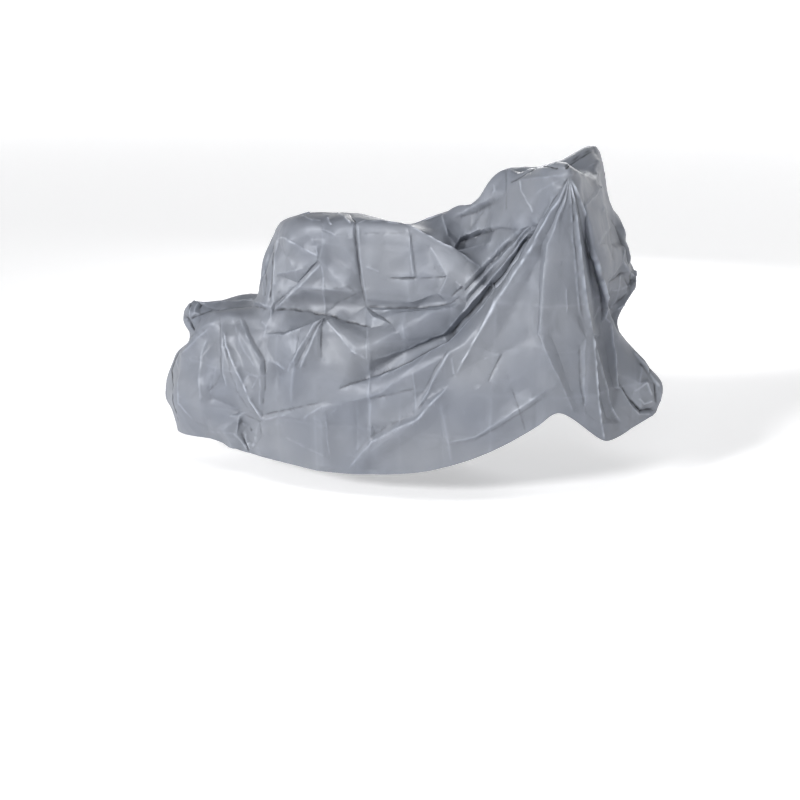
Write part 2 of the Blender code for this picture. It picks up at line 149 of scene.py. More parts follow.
# One row for each main fold. "rise" is the height of its crest over the surface, or below zero the
# depth of its trough, and "reach" its half width, both in millimetres. It grows from nothing over
# the share "start" of its line and dies away over the share "end". The line is in centimetres.
FOLD_COLUMNS = ("name", "face", "rise", "reach", "start", "end", "line")
FOLDS = (
    # near side, from the front tip down to the belly
    ("main diagonal", "near", -42, 40, .1, .3,
     ((46, 104), (29, 80), (20, 70), (1, 61), (-13, 51), (-26, 44))),
    ("lower bank", "near", 24, 42, .3, .3, ((36, 80), (26, 65), (10, 55), (-8, 45))),
    ("upper bank", "near", 20, 36, .3, .3, ((22, 84), (8, 71), (-8, 63), (-25, 56))),
    ("upper fan trough", "near", -38, 32, .3, .2, ((51, 114), (38, 95), (30, 81))),
    ("second fan trough", "near", -26, 32, .3, .2, ((43, 110), (34, 98), (28, 87))),
    ("fan rib", "near", 18, 32, .3, .3, ((47, 111), (37, 99), (30, 87))),
    ("tip trough", "near", -24, 32, .2, .2, ((59, 127), (54, 118), (49, 110))),
    ("left ridge", "near", 28, 32, .1, .3, ((59, 126), (53, 113), (44, 96), (36, 79), (28, 62))),
    ("middle ridge", "near", 20, 32, .1, .3, ((60, 126), (55, 103), (53, 80), (56, 56))),
    ("middle trough", "near", -26, 34, .2, .3, ((60, 118), (60, 95), (60, 76), (63, 58))),
    ("front drape", "near", 12, 32, .3, .2, ((29, 29), (46, 41), (56, 50))),
    # near side, hump and belly
    ("hump base", "near", -13, 32, .2, .2,
     ((27, 84), (20, 80), (6, 77), (-18, 75.5), (-43, 75), (-53, 72))),
    ("under hump", "near", -14, 32, .3, .3, ((-46, 74), (-32, 73), (-20, 70), (-10, 66))),
    ("hump star a", "near", 14, 32, .1, .1, ((-50, 99), (-35, 92), (-18, 77))),
    ("hump star b", "near", 14, 32, .1, .1, ((-36, 100), (-35, 92), (-50, 75))),
    ("hump panel", "near", -14, 32, .2, .2, ((-20, 102), (-19, 90), (-16, 78))),
    ("belly star a", "near", 16, 32, .1, .3, ((-32, 71), (-40, 51))),
    ("belly star b", "near", 16, 32, .1, .3, ((-30, 71), (-13, 57))),
    ("lower fold", "near", 18, 32, .3, .2, ((-22, 11), (-5, 26), (9, 37), (20, 50))),
    ("hem fold a", "near", 12, 34, .3, .1, ((-30, 40), (-30, 10))),
    ("hem fold b", "near", -10, 34, .3, .1, ((-14, 45), (-10, 10))),
    # near side, rear end
    ("shelf ridge", "near", 16, 32, .3, .4, ((-44, 68), (-42, 54), (-44, 36))),
    ("rear ridge a", "near", 24, 32, .2, .4, ((-75, 66), (-86, 60), (-96, 48), (-99, 36))),
    ("rear trough ab", "near", -20, 32, .3, .4, ((-79, 60), (-86, 50), (-87, 38))),
    ("rear ridge b", "near", 28, 32, .2, .3, ((-75, 65), (-74, 56), (-69, 46), (-60, 32))),
    ("rear trough bc", "near", -18, 32, .3, .4, ((-72, 60), (-66, 51), (-61, 42))),
    ("rear ridge c", "near", 24, 32, .2, .3, ((-71, 65), (-62, 57), (-55, 47), (-54, 38))),
    ("rear trough cd", "near", -22, 32, .3, .4, ((-60, 64), (-51, 53), (-49, 40))),
    ("rear arc", "near", -16, 32, .3, .2, ((-86, 32), (-80, 34), (-71, 31), (-66, 27))),
    ("gather hollow", "near", -24, 32, .2, .1, ((-70, 26), (-66, 21), (-64, 15))),
    ("gather fold", "near", 24, 32, .2, .1, ((-76, 24), (-73, 18), (-72, 12))),
    ("gather lip", "near", 22, 32, .2, .1, ((-59, 30), (-60, 20), (-58, 11))),
    # top, front and rear
    ("pocket", "top", -50, 50, .5, .3, ((10, -9), (21, -12), (31, -14))),
    ("rise hollow", "top", -22, 45, .1, .1, ((21, -20), (20.5, 0), (20, 18))),
    ("pocket lip", "top", 22, 36, .3, .3, ((10, 2), (24, -2), (34, -6))),
    ("top slit", "top", -16, 34, .2, .2, ((36, -6), (46, -3), (56, -6))),
    ("tip dip", "top", -26, 55, .3, .3, ((62, -16), (62, 2), (64, 16))),
    ("front panel", "front", -22, 60, .2, .2, ((-8, 116), (-2, 98), (2, 80))),
    ("lobe ridge", "front", 18, 36, .2, .2, ((30, 110), (22, 95), (12, 82))),
    ("lobe trough", "front", -18, 34, .2, .2, ((27, 98), (20, 86), (17, 78))),
    ("rear groove", "rear", -16, 32, .2, .2, ((-6, 98), (-8, 88), (-4, 76))),
    ("rear rim", "rear", 14, 32, .2, .2, ((-2, 52), (-5, 38), (-3, 20))),
    # far side
    ("far diagonal", "far", -36, 40, .1, .3,
     ((56, 110), (36, 84), (16, 68), (-6, 56), (-24, 48))),
    ("far bank", "far", 22, 40, .3, .3, ((42, 80), (24, 63), (2, 50))),
    ("far tip ridge a", "far", 24, 32, .1, .3, ((65, 126), (57, 108), (47, 88), (40, 70))),
    ("far tip ridge b", "far", 24, 32, .1, .3, ((65, 126), (63, 98), (61, 72), (60, 50))),
    ("far tip trough", "far", -24, 32, .2, .3, ((64, 120), (58, 98), (54, 76), (52, 60))),
    ("far hump base", "far", -26, 32, .2, .2, ((20, 82), (2, 76), (-22, 76), (-50, 72))),
    ("far hump star a", "far", 14, 32, .1, .1, ((-46, 100), (-30, 88), (-10, 80))),
    ("far hump star b", "far", 14, 32, .1, .1, ((-24, 100), (-30, 88), (-46, 76))),
    ("far rear ridge a", "far", 24, 32, .2, .4, ((-76, 67), (-84, 58), (-92, 44), (-94, 30))),
    ("far rear ridge b", "far", 26, 32, .2, .3, ((-76, 66), (-74, 50), (-72, 32))),
    ("far rear ridge c", "far", 22, 32, .2, .3, ((-72, 66), (-60, 54), (-52, 36))),
    ("far hem fold a", "far", 16, 34, .3, .1, ((-34, 50), (-30, 30), (-34, 10))),
    ("far hem fold b", "far", -14, 34, .3, .1, ((-6, 46), (-10, 10))),
    ("far lower fold", "far", 16, 32, .3, .2, ((-10, 14), (10, 30), (30, 52))),
)

# On the solid a fold is round. Here it has a narrow crest of this half width and almost straight
# flanks, which end at this many times its reach and rise with this power.
FOLD_CREST = 3 * MM
FOLD_FLANK = 1.7
FOLD_POWER = 1.2

# Where the photograph shows less of a main fold than the solid has, the share that is kept here.
FOLD_SHARES = {
    "rear ridge b": .55, "rear trough bc": .35, "rear ridge c": .5, "rear trough cd": .5,
    "rear trough ab": .7, "gather hollow": .5, "gather lip": .5, "gather fold": .6,
    "middle trough": .25, "tip trough": .7, "middle ridge": .7, "tip dip": .4, "front panel": .4,
    "hump panel": .6,
}

# How the smooth surface runs through its net.
SPLINE_TENSION = 0.1
CHORD_POWER = 0.75

# A fold is whole where the surface faces its way by more than FACING_FULL, and none below FACING_NONE.
# A fold of the near or far side also dies away over SIDE_BLEND towards the middle plane.
FACING_NONE = -0.1
FACING_FULL = 0.4
SIDE_BLEND = 6 * CM

# The camera that took the photograph, in the tables' frame: its place in metres, its turn about the
# vertical, how far it looks down, and its focal length in pixels of a picture 800 pixels wide.
PICTURE_PX = 800
FOCAL_PX = 1180.0
EYE = np.array((0.984, -4.521, 1.771))
AZIMUTH = math.radians(13.2)
DOWNWARD = math.radians(17.5)
SENSOR_MM = 36.0

# At the cover's distance a pixel of the photograph is this wide.
PIXEL_MM = 4.2

# The rounded creases that show. "rise" and "reach" are in millimetres, as for the folds. "lean" sets
# the crest towards one flank, to the left of the line above zero. The line runs through pixels of the
# photograph.
CREASE_COLUMNS = ("name", "rise", "reach", "lean", "start", "end", "line")
CREASES = (
    ("belly line a", 4, 16, .3, .1, .2, ((296, 332), (293, 375), (290, 409))),
    ("belly line b", 3, 16, .3, .1, .2, ((369, 334), (369, 393), (372, 440))),
    ("hem line b", 3, 16, 0, .2, .1, ((440, 400), (446, 430), (452, 464))),
    ("low dent", -5, 22, 0, .3, .3, ((205, 395), (213, 385), (220, 372))),
    ("panel line a", 4, 8, 0, .1, .1, ((583, 208), (595, 195), (599, 187))),
    ("panel line b", 4, 8, 0, .1, .1, ((594, 246), (608, 230), (612, 226))),
    ("panel rim", -5, 7, 0, .1, .2, ((601, 158), (598, 172), (598, 188))),
    ("panel facet", -5, 14, 0, .1, .2, ((612, 226), (612, 245), (611, 262))),
)

# Each reach of that table is widened by CREASE_SPREAD, and CREASE_MARGIN reaches hold the crease.
CREASE_SPREAD = 1.2
CREASE_MARGIN = 1.6

# Flat facets of the near side, between the straight creases that bound them. Each crease runs through
# corners (across, down, rise): pixels of the photograph, and millimetres above the smooth film. A
# "crest" is a thin line along the crease, in millimetres: raised above zero, sunk below it. The same
# value gives the line whitening with a painted glint above zero and painted shade below it. The long
# creases of the fan start at FAN_TIP, and the rays of the belly's star at BELLY_STAR.
FAN_TIP = (570, 177, 0)
BELLY_STAR = (324.2, 318, 0)
FACET_LINE_COLUMNS = ("name", "crest", "corners")
FACET_LINES = (
    ("border", 0, ((140, 500, 0), (140, 270, 0), (240, 170, 0), (480, 120, 0), (650, 120, 0), (700, 300, 0),
     (700, 500, 0), (140, 500, 0))),
    # the fan that hangs from the near tip
    ("fan left edge", 0, (FAN_TIP, (553, 192, 0), (538, 216, 0), (531, 226, 0))),
    ("fan dark line", -1, (FAN_TIP, (556, 194, -7), (541.5, 217, -7), (536, 225, -5))),
    ("fan one", 2.2, (FAN_TIP, (560, 199, 5), (548.5, 217, 8), (532.5, 247, 9), (517, 272.5, 9),
     (499, 300, 7), (472, 345, 4), (455, 376, 2))),
    ("fan valley one", 0, (FAN_TIP, (563, 199, -2), (555, 217, -4), (540.5, 247, -5), (538, 272, -5),
     (538, 300, -5), (536, 333, -3))),
    ("fan two", .5, (FAN_TIP, (565, 199, 2), (558.5, 217, 2), (548, 245, 3), (544, 272, 3), (543, 300, 4),
     (540, 330, 4))),
    ("fan valley two", 0, (FAN_TIP, (567, 199, -2), (562.5, 217, -3), (559, 245, -3), (557, 272, -4),
     (555, 300, -4), (549, 326, -4))),
    ("fan rib", .8, ((567, 288, -4), (567.6, 314, -4))),
    ("fan three left", 1.2, (FAN_TIP, (570.6, 202, 0), (573.6, 242, -4), (578, 285, -7), (582, 317, -7))),
    ("fan three line", -.8, (FAN_TIP, (572.2, 202, 0), (575.6, 238, -3), (580.2, 285, -4), (585, 320, -4))),
    ("fan three", 1.5, (FAN_TIP, (573.8, 202, 3), (577.8, 236, 6), (582.8, 285, 7), (588.4, 323, 7),
     (591.3, 334, 6))),
    ("fan trough", -1, (FAN_TIP, (576.6, 200, -3), (581, 220, -4), (587, 245, -5), (594, 272, -6),
     (601, 298, -6), (603, 308, -5), (602.5, 322, -4))),
    ("fan four", 3.0, (FAN_TIP, (579, 200, 3), (584.5, 220, 6), (591, 245, 8), (598.5, 272, 9),
     (605.3, 298, 8), (606.5, 309, 6))),
    ("fan tick", .7, ((600.5, 306, -5), (593, 320, 0))),
    # the pleats left of the fan, and the long diagonal that they run into
    ("pleat one", .8, ((520, 229, 2), (500, 248.5, 3), (480, 268, 3), (463, 286, 0))),
    ("pleat one floor", -.6, ((524, 229.5, -3), (500, 253, -8), (480, 275, -8), (464, 293, -6))),
    ("pleat two", .8, ((526, 230, 0), (503, 255.5, 1), (480, 280.5, 1), (466, 296, 0))),
    ("pleat two floor", -.4, ((529, 230, -3), (505, 258, -5), (480, 287.5, -5), (466, 303, -4))),
    ("pleat three", 1, ((531, 230.5, 0), (508, 259.5, 3), (480, 293, 3), (462, 313, 2), (452, 325, 2),
     (444, 334, 2), (430, 338, 2), (410, 348, 2), (372, 360, 2))),
    ("diagonal floor", -1.6, ((538, 220, -5), (533.6, 227, -9), (510, 262.5, -13), (480, 303, -14),
     (454, 331, -14), (445, 339, -13), (430, 346, -13), (410, 358, -12), (390, 367.5, -10),
     (367, 377.5, -8))),
    ("diagonal end", -1.2, ((367, 377.5, -8), (338.7, 388.5, -1))),
    ("diagonal rim", 1.2, ((541.5, 218.5, 0), (537, 229, 1), (513, 265, 2), (483.5, 305.5, 2), (457, 334, 2),
     (447, 342.5, 2), (433, 350, 2), (411, 362.5, 2), (391, 371.5, 1), (368.5, 381, 0))),
    # the top between the two tips, and the dip
    ("top cut a", -3, ((510, 183, -2), (518.5, 176.5, -5), (528, 170.5, -6), (537.5, 165.5, -3))),
    ("top cut b", -2.6, ((542.5, 165.5, -2), (549, 166, -4), (558, 168.5, -2))),
    ("top cut c", -3, ((565, 169.5, -1), (572, 163, -3), (582, 157, -3), (595, 151, -1))),
    ("top cut c left", -2, ((564, 167.5, 0), (571, 161, -1), (581, 155, -1), (591, 151, 0))),
    ("top flat edge", .5, ((522, 180, 4), (545, 177.5, 5), (566, 175, 3))),
    ("top flat edge right", .5, ((574, 174, 2), (587, 169, 3), (598, 162, 2))),
    ("top diagonal", .3, ((564, 178.5, 1), (541, 189.5, 3), (528.5, 205, 0))),
    ("top white crease", 1.4, ((521, 180, 4), (521.5, 189, 2), (527, 200, 2), (533, 213, 0))),
    ("top corner line", -.6, ((505.7, 168, -3), (505.2, 191, -4), (507, 211, 0))),
    ("shoulder", 1.8, ((403, 224, 1), (410.5, 227, 4), (429, 236.5, 5), (456, 251, 5), (467.5, 260.5, 4),
     (482, 268, 1))),
    ("shoulder groove", -1.2, ((400, 221, -2), (412, 225.5, -7), (430.5, 234, -10), (456, 248.5, -10))),
    ("pocket lip", .5, ((455.5, 245, 2), (460, 238, 3), (477, 230.5, 4), (495, 226, 1))),
    ("pocket floor", -1, ((458, 246.5, -10), (462.5, 241, -15), (478, 234, -14), (495, 229, -6))),
    ("pocket rib", 1, ((457.5, 250.3, -2), (474.6, 247, 1), (491, 242, 0))),
    ("dip tick", 1.2, ((442, 215, 0), (444, 223.5, 2), (447.6, 236.5, 0))),
    ("dip wedge top", .8, ((457.5, 214.5, 1), (474.6, 206, 3), (490, 199.5, 3))),
    ("dip wedge floor", -.6, ((459, 216.5, -2), (476, 212, -8), (490.5, 203.5, -8))),
    ("dip line", -.8, ((490, 205.5, -6), (480, 215.5, -3), (468.5, 230.5, 1))),
    ("rise rim", 1, ((493.5, 184, 1), (495, 191, 2), (490, 199.5, 3))),
    # the hump
    ("hump rear edge", -2, ((279, 230, -1), (272.7, 246, -3), (271.5, 262, -3), (270.5, 285, -3),
     (270, 301, -2))),
    ("hump rear rim", 1, ((284, 226, 2), (276.5, 243, 2), (274.6, 262, 2), (273.5, 284, 2), (273, 303, 0))),
    ("hump rear strip", 1.4, ((268.5, 252, 0), (266, 265, 1), (263, 279, 1), (262.5, 297, 0))),
    ("hump rear strip line", -1.4, ((265.5, 268, -1), (266.5, 282, -1), (264.5, 297, 0))),
    ("hump top tick a", 2, ((322, 213, 1), (327, 217, 4), (332, 225, 2))),
    ("hump top tick b", 2.2, ((336, 213, 1), (345, 219, 5), (352, 224, 3))),
    ("hump top tick c", -1.8, ((350, 214, -1), (353.5, 219, -2), (356, 222, -1))),
    ("hump top tick d", 1.8, ((300, 215, 1), (312, 220, 2), (322, 219.5, 0))),
    ("hump top line", 2, ((357, 224, 2), (366, 220.5, 2), (384, 221.5, 1), (401, 224, 1))),
    ("hump bulge", .3, ((324, 229, 6), (336, 235.5, 9), (348, 236, 5))),
    ("hump ray a", 1.4, ((277, 238, 3), (286, 238.5, 7), (303, 248.5, 0), (318.5, 256.5, -7))),
    ("hump ray b", 1.2, ((311.5, 238, 0), (315, 246, -2), (318.5, 256.5, -6))),
    ("hump ray c", .4, ((322.5, 230, 2), (322.5, 246, -1), (320.5, 257, -5))),
    ("hump wedge", .4, ((278, 243, -3), (288, 256, 1), (298.3, 271, 10), (276.5, 274, 0))),
    ("hump valley", 0, ((317.5, 262.5, -7), (297, 283.5, -8), (274, 304.5, -4))),
    ("hump ridge", 1.2, ((320.5, 264.5, -3), (300, 286, -2), (277, 307, -1))),
    ("hump low a", -.6, ((277, 307, -1), (296.5, 293.5, 0), (303, 290.5, 2), (325.3, 289, 9),
     (346.8, 286, 10), (357.5, 293, 4))),
    ("hump low b", .8, ((320.5, 264.5, -3), (324, 277, 0), (325.3, 289, 9), (323.9, 309, -5))),
    ("hump low c", -.5, ((357.5, 293, 3), (341, 301, -2), (323.9, 309, -4))),
    ("hump fold left", 0, ((353.5, 223, 3), (353, 240, 6), (355.5, 262, 6), (357.5, 293, 3))),
    ("hump fold", -1.1, ((356.2, 222.5, -1), (355.6, 239, 0), (358.2, 260, 0), (360.6, 281, -1),
     (365, 303, -4))),
    ("hump fold right", .8, ((359, 226, 3), (359.2, 240, 3), (361.3, 262, 3), (364, 284, 3), (367, 299, 0))),
    ("panel top", -.4, ((362, 233, 2), (384, 233, 1), (408, 233.5, 2))),
    ("panel side", .9, ((408, 229, 4), (411, 252, 3), (413.5, 276.5, 3))),
    ("panel side groove", -.4, ((410.5, 233, 1), (413.5, 252, 0), (416, 275, 1))),
    ("panel nick", .7, ((361.5, 263.5, 3), (370, 268, 3), (380, 271.5, 1))),
    ("panel low line", -1.2, ((388, 277.8, -1), (413.5, 278.5, -2), (440, 277.5, -1), (446, 276, 1))),
    ("panel low facet", 0, ((392.5, 281, -1), (390, 301, 1), (414, 301.5, 4), (408, 281, 3))),
    ("far wedge left", 0, ((423, 244, 1), (428.6, 248, -2), (431.5, 262, -2), (437, 293, 0))),
    ("far wedge right", .4, ((430, 246, 0), (447.2, 275, 7), (440, 294, 4))),
    ("hump end tick", 1.2, ((455.5, 281.5, 2), (461, 286.5, 2))),
    ("hump end dark", -1.4, ((461, 288.5, -6), (456, 292, -7), (450, 297, -4))),
    ("hump base", -1.4, ((365, 305.5, -5), (390, 306.8, -7), (415.7, 307.2, -7), (446, 303.5, -7),
     (459, 299.5, -8))),
    ("hump base rim", .7, ((367, 309, 0), (390, 310, 1), (416, 310.5, 1), (446, 307.5, 1), (459, 304, 0))),
    ("under base ridge", 0, ((374, 319, 10), (400, 317, 12), (430, 313, 12), (453, 307, 8))),
    ("hump base spur", -.8, ((365, 305.5, -5), (378, 314, -4), (391.5, 324, 0))),
    # under the hump
    ("under hump", -1.8, ((273.5, 310, -5), (290, 307.5, -10), (306, 308.5, -10), (324, 312, -11),
     (345, 318, -11), (364.5, 325, -7), (371, 327.5, -1))),
    ("under wedge floor", 0, ((259, 328, -1), (281, 331, -8), (300, 324.5, -12), (320, 316.5, -9))),
    ("under wedge rim", .6, ((262, 334, 0), (283, 334.5, 1), (301, 328, 1), (322.5, 319, 0))),
    ("belly facet left", 0, ((293.5, 332, -1), (295.3, 352, -3))),
    ("belly ray a", 1, (BELLY_STAR, (315.3, 323.5, 4), (296.8, 354, 6), (291, 363, 3))),
    ("belly ray a groove", -.4, (BELLY_STAR, (318, 324.5, -1), (305, 349, -2), (297, 364, -1))),
    ("belly ray b", .8, (BELLY_STAR, (319, 327, 3), (309, 348, 4), (300, 369, 2))),
    ("belly ray c", -.8, (BELLY_STAR, (322.3, 322, -2), (320.8, 360, -3))),
    ("belly ray d", 1.4, (BELLY_STAR, (337.6, 333.5, -2), (352, 350.5, 1), (366.3, 358.5, 6))),
    ("belly bright facet", 0, ((326.5, 318, 0), (341, 326, -3), (367.7, 340.5, 6), (366.3, 358.5, 6))),
    ("belly packing line", .6, ((368, 330, 1), (367.7, 340.5, 6), (366.3, 358.5, 6))),
    ("warm facet", .4, ((368.5, 381, 0), (371.5, 396.5, 3), (380, 393, 3), (413, 368, 3), (433, 350, 2))),
    ("low line", -.9, ((372, 399, -2), (391, 394.5, -3), (414.6, 388.5, -1))),
    ("packing line right", .6, ((412.5, 372, 2), (414.6, 388.5, -1), (415, 417, -1))),
    ("long diagonal floor", -.6, ((351, 458, -1), (374, 434, -5), (397, 421, -5), (413, 413, -4),
     (426, 400, -3))),
    ("long diagonal", 1.3, ((348.5, 468, 1), (372.5, 442, 3), (397, 428.5, 4), (415.5, 421, 4),
     (431, 403.5, 4), (450, 385, 1))),
    ("low bright facet", 0, ((355.5, 422, -2), (372, 422, 3), (370.5, 438, 4), (356, 450, 0))),
    ("belly cross", -1, ((262, 415.5, -3), (287.5, 410, -3), (304, 406, -3), (320.8, 403, -2))),
    ("belly cross rim", .7, ((264, 420, 1), (287, 414.5, 1))),
    ("belly short line", .7, ((321.5, 407, 2), (311, 413, 2), (301, 419.5, 0))),
    ("belly packing low", .7, ((325.3, 412, 1), (327, 436, 2), (330, 461, 0))),
    ("belly spur", .5, ((342, 404, 1), (327.8, 416.5, 0))),
    ("belly low wrinkle", .5, ((285, 437, 0), (305, 447, 2), (325, 456, 0))),
    # the drape
    ("drape double", 1.2, ((452, 348.5, 2), (439, 369, 4), (423.5, 400, 1))),
    ("drape double floor", -.6, ((447, 351, -2), (435, 370, -3), (421, 396, -2))),
    ("drape tick", 1, ((451.2, 357, 1), (453.6, 375, 1))),
    ("drape dark tick", -.9, ((502, 353, 0), (495, 367, -3), (487.6, 382, 0))),
    ("drape bright bit", .8, ((484, 359, 0), (499, 354, 3))),
    ("drape seam", -.8, ((507, 373, 0), (512, 389, -2), (519, 409, 1), (525, 432, -1))),
    ("hem line", .9, ((543.5, 392, 3), (519, 409, 3), (497, 423, 3), (475.5, 437, 2), (446.5, 443, 0))),
    ("hem line floor", -.4, ((545, 397, -2), (522, 413, -2), (497, 428, -2), (474, 441, -2))),
    ("drape edge", .7, ((538.5, 334, 3), (544.5, 346, 3), (552, 364, 3), (560.5, 382, 2), (573.5, 412, 0))),
    ("drape edge floor", 0, ((551, 336, -9), (560, 356, -10), (567, 376, -8), (576, 404, -3))),
    # the front flap
    ("flap left floor", -1, ((581.5, 346, -6), (581, 366, -7), (582, 388, -5), (586, 412, -2))),
    ("flap left", .5, ((585.7, 337, 0), (584.3, 360, 1), (584, 388, 1))),
    ("flap one", 2.8, ((591.3, 334, 6), (593, 348, 6), (594.4, 365, 6), (597.8, 401, 6), (600.5, 424, 5),
     (604, 440, 3))),
    ("flap one floor", -.8, ((595.3, 338, -4), (597, 364, -5), (600.8, 392, -5), (606, 418, -3))),
    ("flap two", 1.4, ((597, 347, -2), (599.3, 363, 2), (605.5, 387, 3), (611, 409, 3), (621.5, 423, 1))),
    ("flap knot", 1.2, ((606.5, 309, 5), (604.5, 317.5, 4), (609.5, 322.5, 4))),
    ("flap three", 1.3, ((609.5, 322.5, 4), (611, 335.5, 4), (614.5, 355.5, 4), (616.3, 374, 4),
     (618, 388, 3))),
    ("flap three floor", 0, ((602.5, 322, -5), (606, 335, -7), (609, 355, -8), (612, 374, -8),
     (614, 388, -4))),
    ("flap right ridge", .5, ((643, 360, 2), (638.5, 383, 4), (641, 408, 2))),
    ("flap notch", -1.4, ((620, 384, -2), (627.5, 396.5, -5), (641.5, 411, -6), (653, 410, -5),
     (659, 411.5, -3))),
    ("flap notch rim", .8, ((622, 390, 1), (630, 404.5, 3), (639, 413.5, 3), (652, 414, 2))),
    ("flap edge rim", 1.8, ((628, 345, 1), (646, 367, 3), (659.5, 387, 3), (661.5, 407, 1))),
    ("flap edge shade", -1.8, ((639, 362, -1), (655, 384, -4), (657.5, 405, -2))),
    ("flap crumple a", 2, ((634, 392, 0), (646, 383, 4), (652, 396, 1))),
    ("flap crumple b", -1.8, ((647, 380, -2), (651, 367, -3))),
    ("flap crumple c", 1.6, ((638, 398, 2), (645, 404, -1), (653, 401, 2))),
    # the lobe of the far tip
    ("lobe rim", 1.6, ((613, 214, 1), (620, 222, 4), (627, 240, 5), (633.5, 262, 5), (636.5, 280, 4),
     (635, 293, 3), (625, 304, 3), (613, 312, 1))),
    ("lobe rim shade", -1, ((610, 217, -2), (616.5, 226, -4), (623, 243, -5), (629.5, 262, -5),
     (632.5, 280, -5), (630, 291, -4), (621, 299, -4), (610, 307, -3))),
    ("lobe edge", 1.3, ((624, 248, 3), (622, 260, 5), (608, 281.5, 2), (606, 298, 0))),
    ("lobe star a", 1.2, ((622, 261, 5), (629, 270, 2), (635.5, 277, 1))),
    ("lobe star b", -1.2, ((608, 284, -2), (622, 273.5, -5), (635, 271.5, -2))),
    ("lobe star c", 1.1, ((622, 274.5, -3), (619, 284, 3), (616.5, 297, 2), (610, 309, 0))),
    ("lobe star d", -1, ((625, 276, -4), (629.5, 285, -5), (627, 297, -2))),
    ("lobe star e", 1, ((611, 291, 0), (622, 289, 3), (633, 284, 2))),
    # the rear end
    ("rear rim", 1, ((210.6, 326.5, 1), (196, 340, 3), (180.5, 354.5, 3), (176.5, 361.5, 2), (178, 370, 1),
     (179, 403, 1), (194.8, 421, 0))),
    ("rear dark line", -2.4, ((194, 333.5, -1), (184, 341.5, -3), (173.5, 358, -4), (170.5, 370, -4),
     (171.5, 400, -3), (179, 424, -1))),
    ("rear facet left", 0, ((191, 357, -1), (187, 380, -2), (188, 402, -1))),
    ("rear facet ridge", .7, ((207.5, 338, 2), (202, 355.5, 5), (200, 380, 5), (201, 402, 3))),
    ("rear arc", .5, ((217.5, 360, -3), (213, 372.5, -5), (208.5, 387, -5), (210, 399, -4), (222.7, 404, -5),
     (240, 412, -5))),
    ("rear line left", -.8, ((220.3, 316, -1), (219, 330, -4), (218.8, 347, -5), (220, 375, -4))),
    ("rear line", 1, ((222, 331, 2), (223, 355, 3), (223.6, 375, 3), (227, 388, 1))),
    ("rear white floor", -.4, ((226, 345, 0), (230, 372, -1), (238, 394, -1), (250, 411, -1))),
    ("rear white crease", 3.2, ((224.5, 331, 2), (226.5, 346, 4), (235.5, 368, 6), (250, 399, 6),
     (261.5, 418, 2))),
    ("rear strip line", .6, ((232.5, 317, 2), (238, 334, 3), (245, 351, 3), (257, 367, 4))),
    ("rear strip edge", 1.1, ((239.8, 318, 1), (246, 333, 2), (253, 348.5, 3), (261.5, 361.5, 3))),
    ("rear strip floor", -.5, ((243.5, 318, -1), (250, 333, -2), (257, 347, -1), (264.5, 358.5, -1))),
    ("rear glint", .6, ((241.5, 386, -1), (250, 374, 0), (259.3, 376.5, 5), (252, 389, 3))),
    ("rear upright", .8, ((261.5, 361.5, 3), (260.5, 385, 3), (260, 410, 0))),
    ("rear upright floor", -1, ((264.5, 358.5, -1), (266.3, 375, -3), (263, 405, -1))),
    ("rear curl", 1.3, ((268, 359.5, 2), (277, 363.3, 3), (285.2, 369.5, 1))),
    ("rear lens", 0, ((271.5, 362.5, 1), (277, 376, -4), (279.3, 389, -1), (273.8, 398, 0))),
    ("rear curl riser", .7, ((288.3, 371.5, 2), (291, 363, 3))),
    ("rear flap", .4, ((227.8, 417, -3), (239.5, 415.5, 3), (237, 434, 4), (206, 431, 0))),
    ("rear dark facet", -.6, ((243, 414, -3), (259, 422, -8), (261.5, 436, -3))),
    ("gather floor", -1.6, ((239.5, 421, -5), (246, 426.5, -9), (251, 432, -5))),
    ("gather a", 1, ((233, 433, 1), (241, 440, 3), (247.5, 449, 1))),
    ("gather b", 1, ((245.5, 434, -2), (246, 441, 2), (250, 449, 1))),
    ("gather c", -1, ((242, 434, -4), (246, 444, -3), (249, 452, 0))),
    ("gather d", 1.1, ((255, 436, -1), (254.5, 443, 3), (252, 450, 1))),
    ("shelf rim", 1.1, ((206, 303, 2), (214.2, 302.8, 3), (234, 302, 3), (253, 300.8, 3), (271, 307.5, 1))),
    ("shelf shade", -1, ((207, 307, -3), (217, 308.5, -6), (236, 306, -6), (253, 304.5, -5),
     (269, 310, -2))),
    ("shelf tick", 1.2, ((271.3, 309.5, 2), (271.3, 317, 1))),
    ("shelf curl", 1.1, ((261.5, 321.5, 1), (266.2, 326, 2), (263, 337.5, 1))),
    ("tail line", -1.8, ((188.8, 318, -3), (200, 313, -5), (213, 308.8, -4))),
    ("tail shade", -2.2, ((191, 303, -2), (187, 317, -4), (194, 331, -2))),
    ("tail crumple a", 1.8, ((198.5, 302, 1), (194.8, 313, 3))),
    ("tail crumple b", 1.6, ((190.5, 303.5, 0), (189.5, 312, 3), (186, 320, 1))),
    ("tail crumple c", -1.8, ((201.5, 303, -3), (199.5, 309, -4))),
)

# Each facet of that table is raised by FACET_GAIN and each crest by CREST_GAIN. A crest grows from
# nothing and dies away over the share CREST_ENDS of its line, and CREST_MARGIN reaches hold it.
FACET_GAIN = 1.5
CREST_GAIN = 1.6
CREST_REACH_MM = 6.0
CREST_MARGIN = 1.3
CREST_ENDS = 0.08

# The relief is whole where the film faces the camera by more than SEEN_FULL and none below SEEN_NONE,
# and so are its whitening, painted glint and painted shade, which also fade out between TONE_FULL and
# TONE_NONE. Lines that lie at a slant of less than SLANT_FULL are narrower.
SEEN_NONE = -0.30
SEEN_FULL = 0.04
TONE_NONE = -0.02
TONE_FULL = 0.08
SLANT_FULL = 0.5
SLANT_LEAST = 0.25

# The creases are stronger in some places than in others, and run a little unevenly.
PATCHY_MIDDLE = 0.68
PATCHY_SWING = 0.6
PATCHY_LENGTHS_CM = (6, 3.5)
LINE_WOBBLE = 0.5
LINE_WOBBLE_LENGTHS_CM = (9, 5)
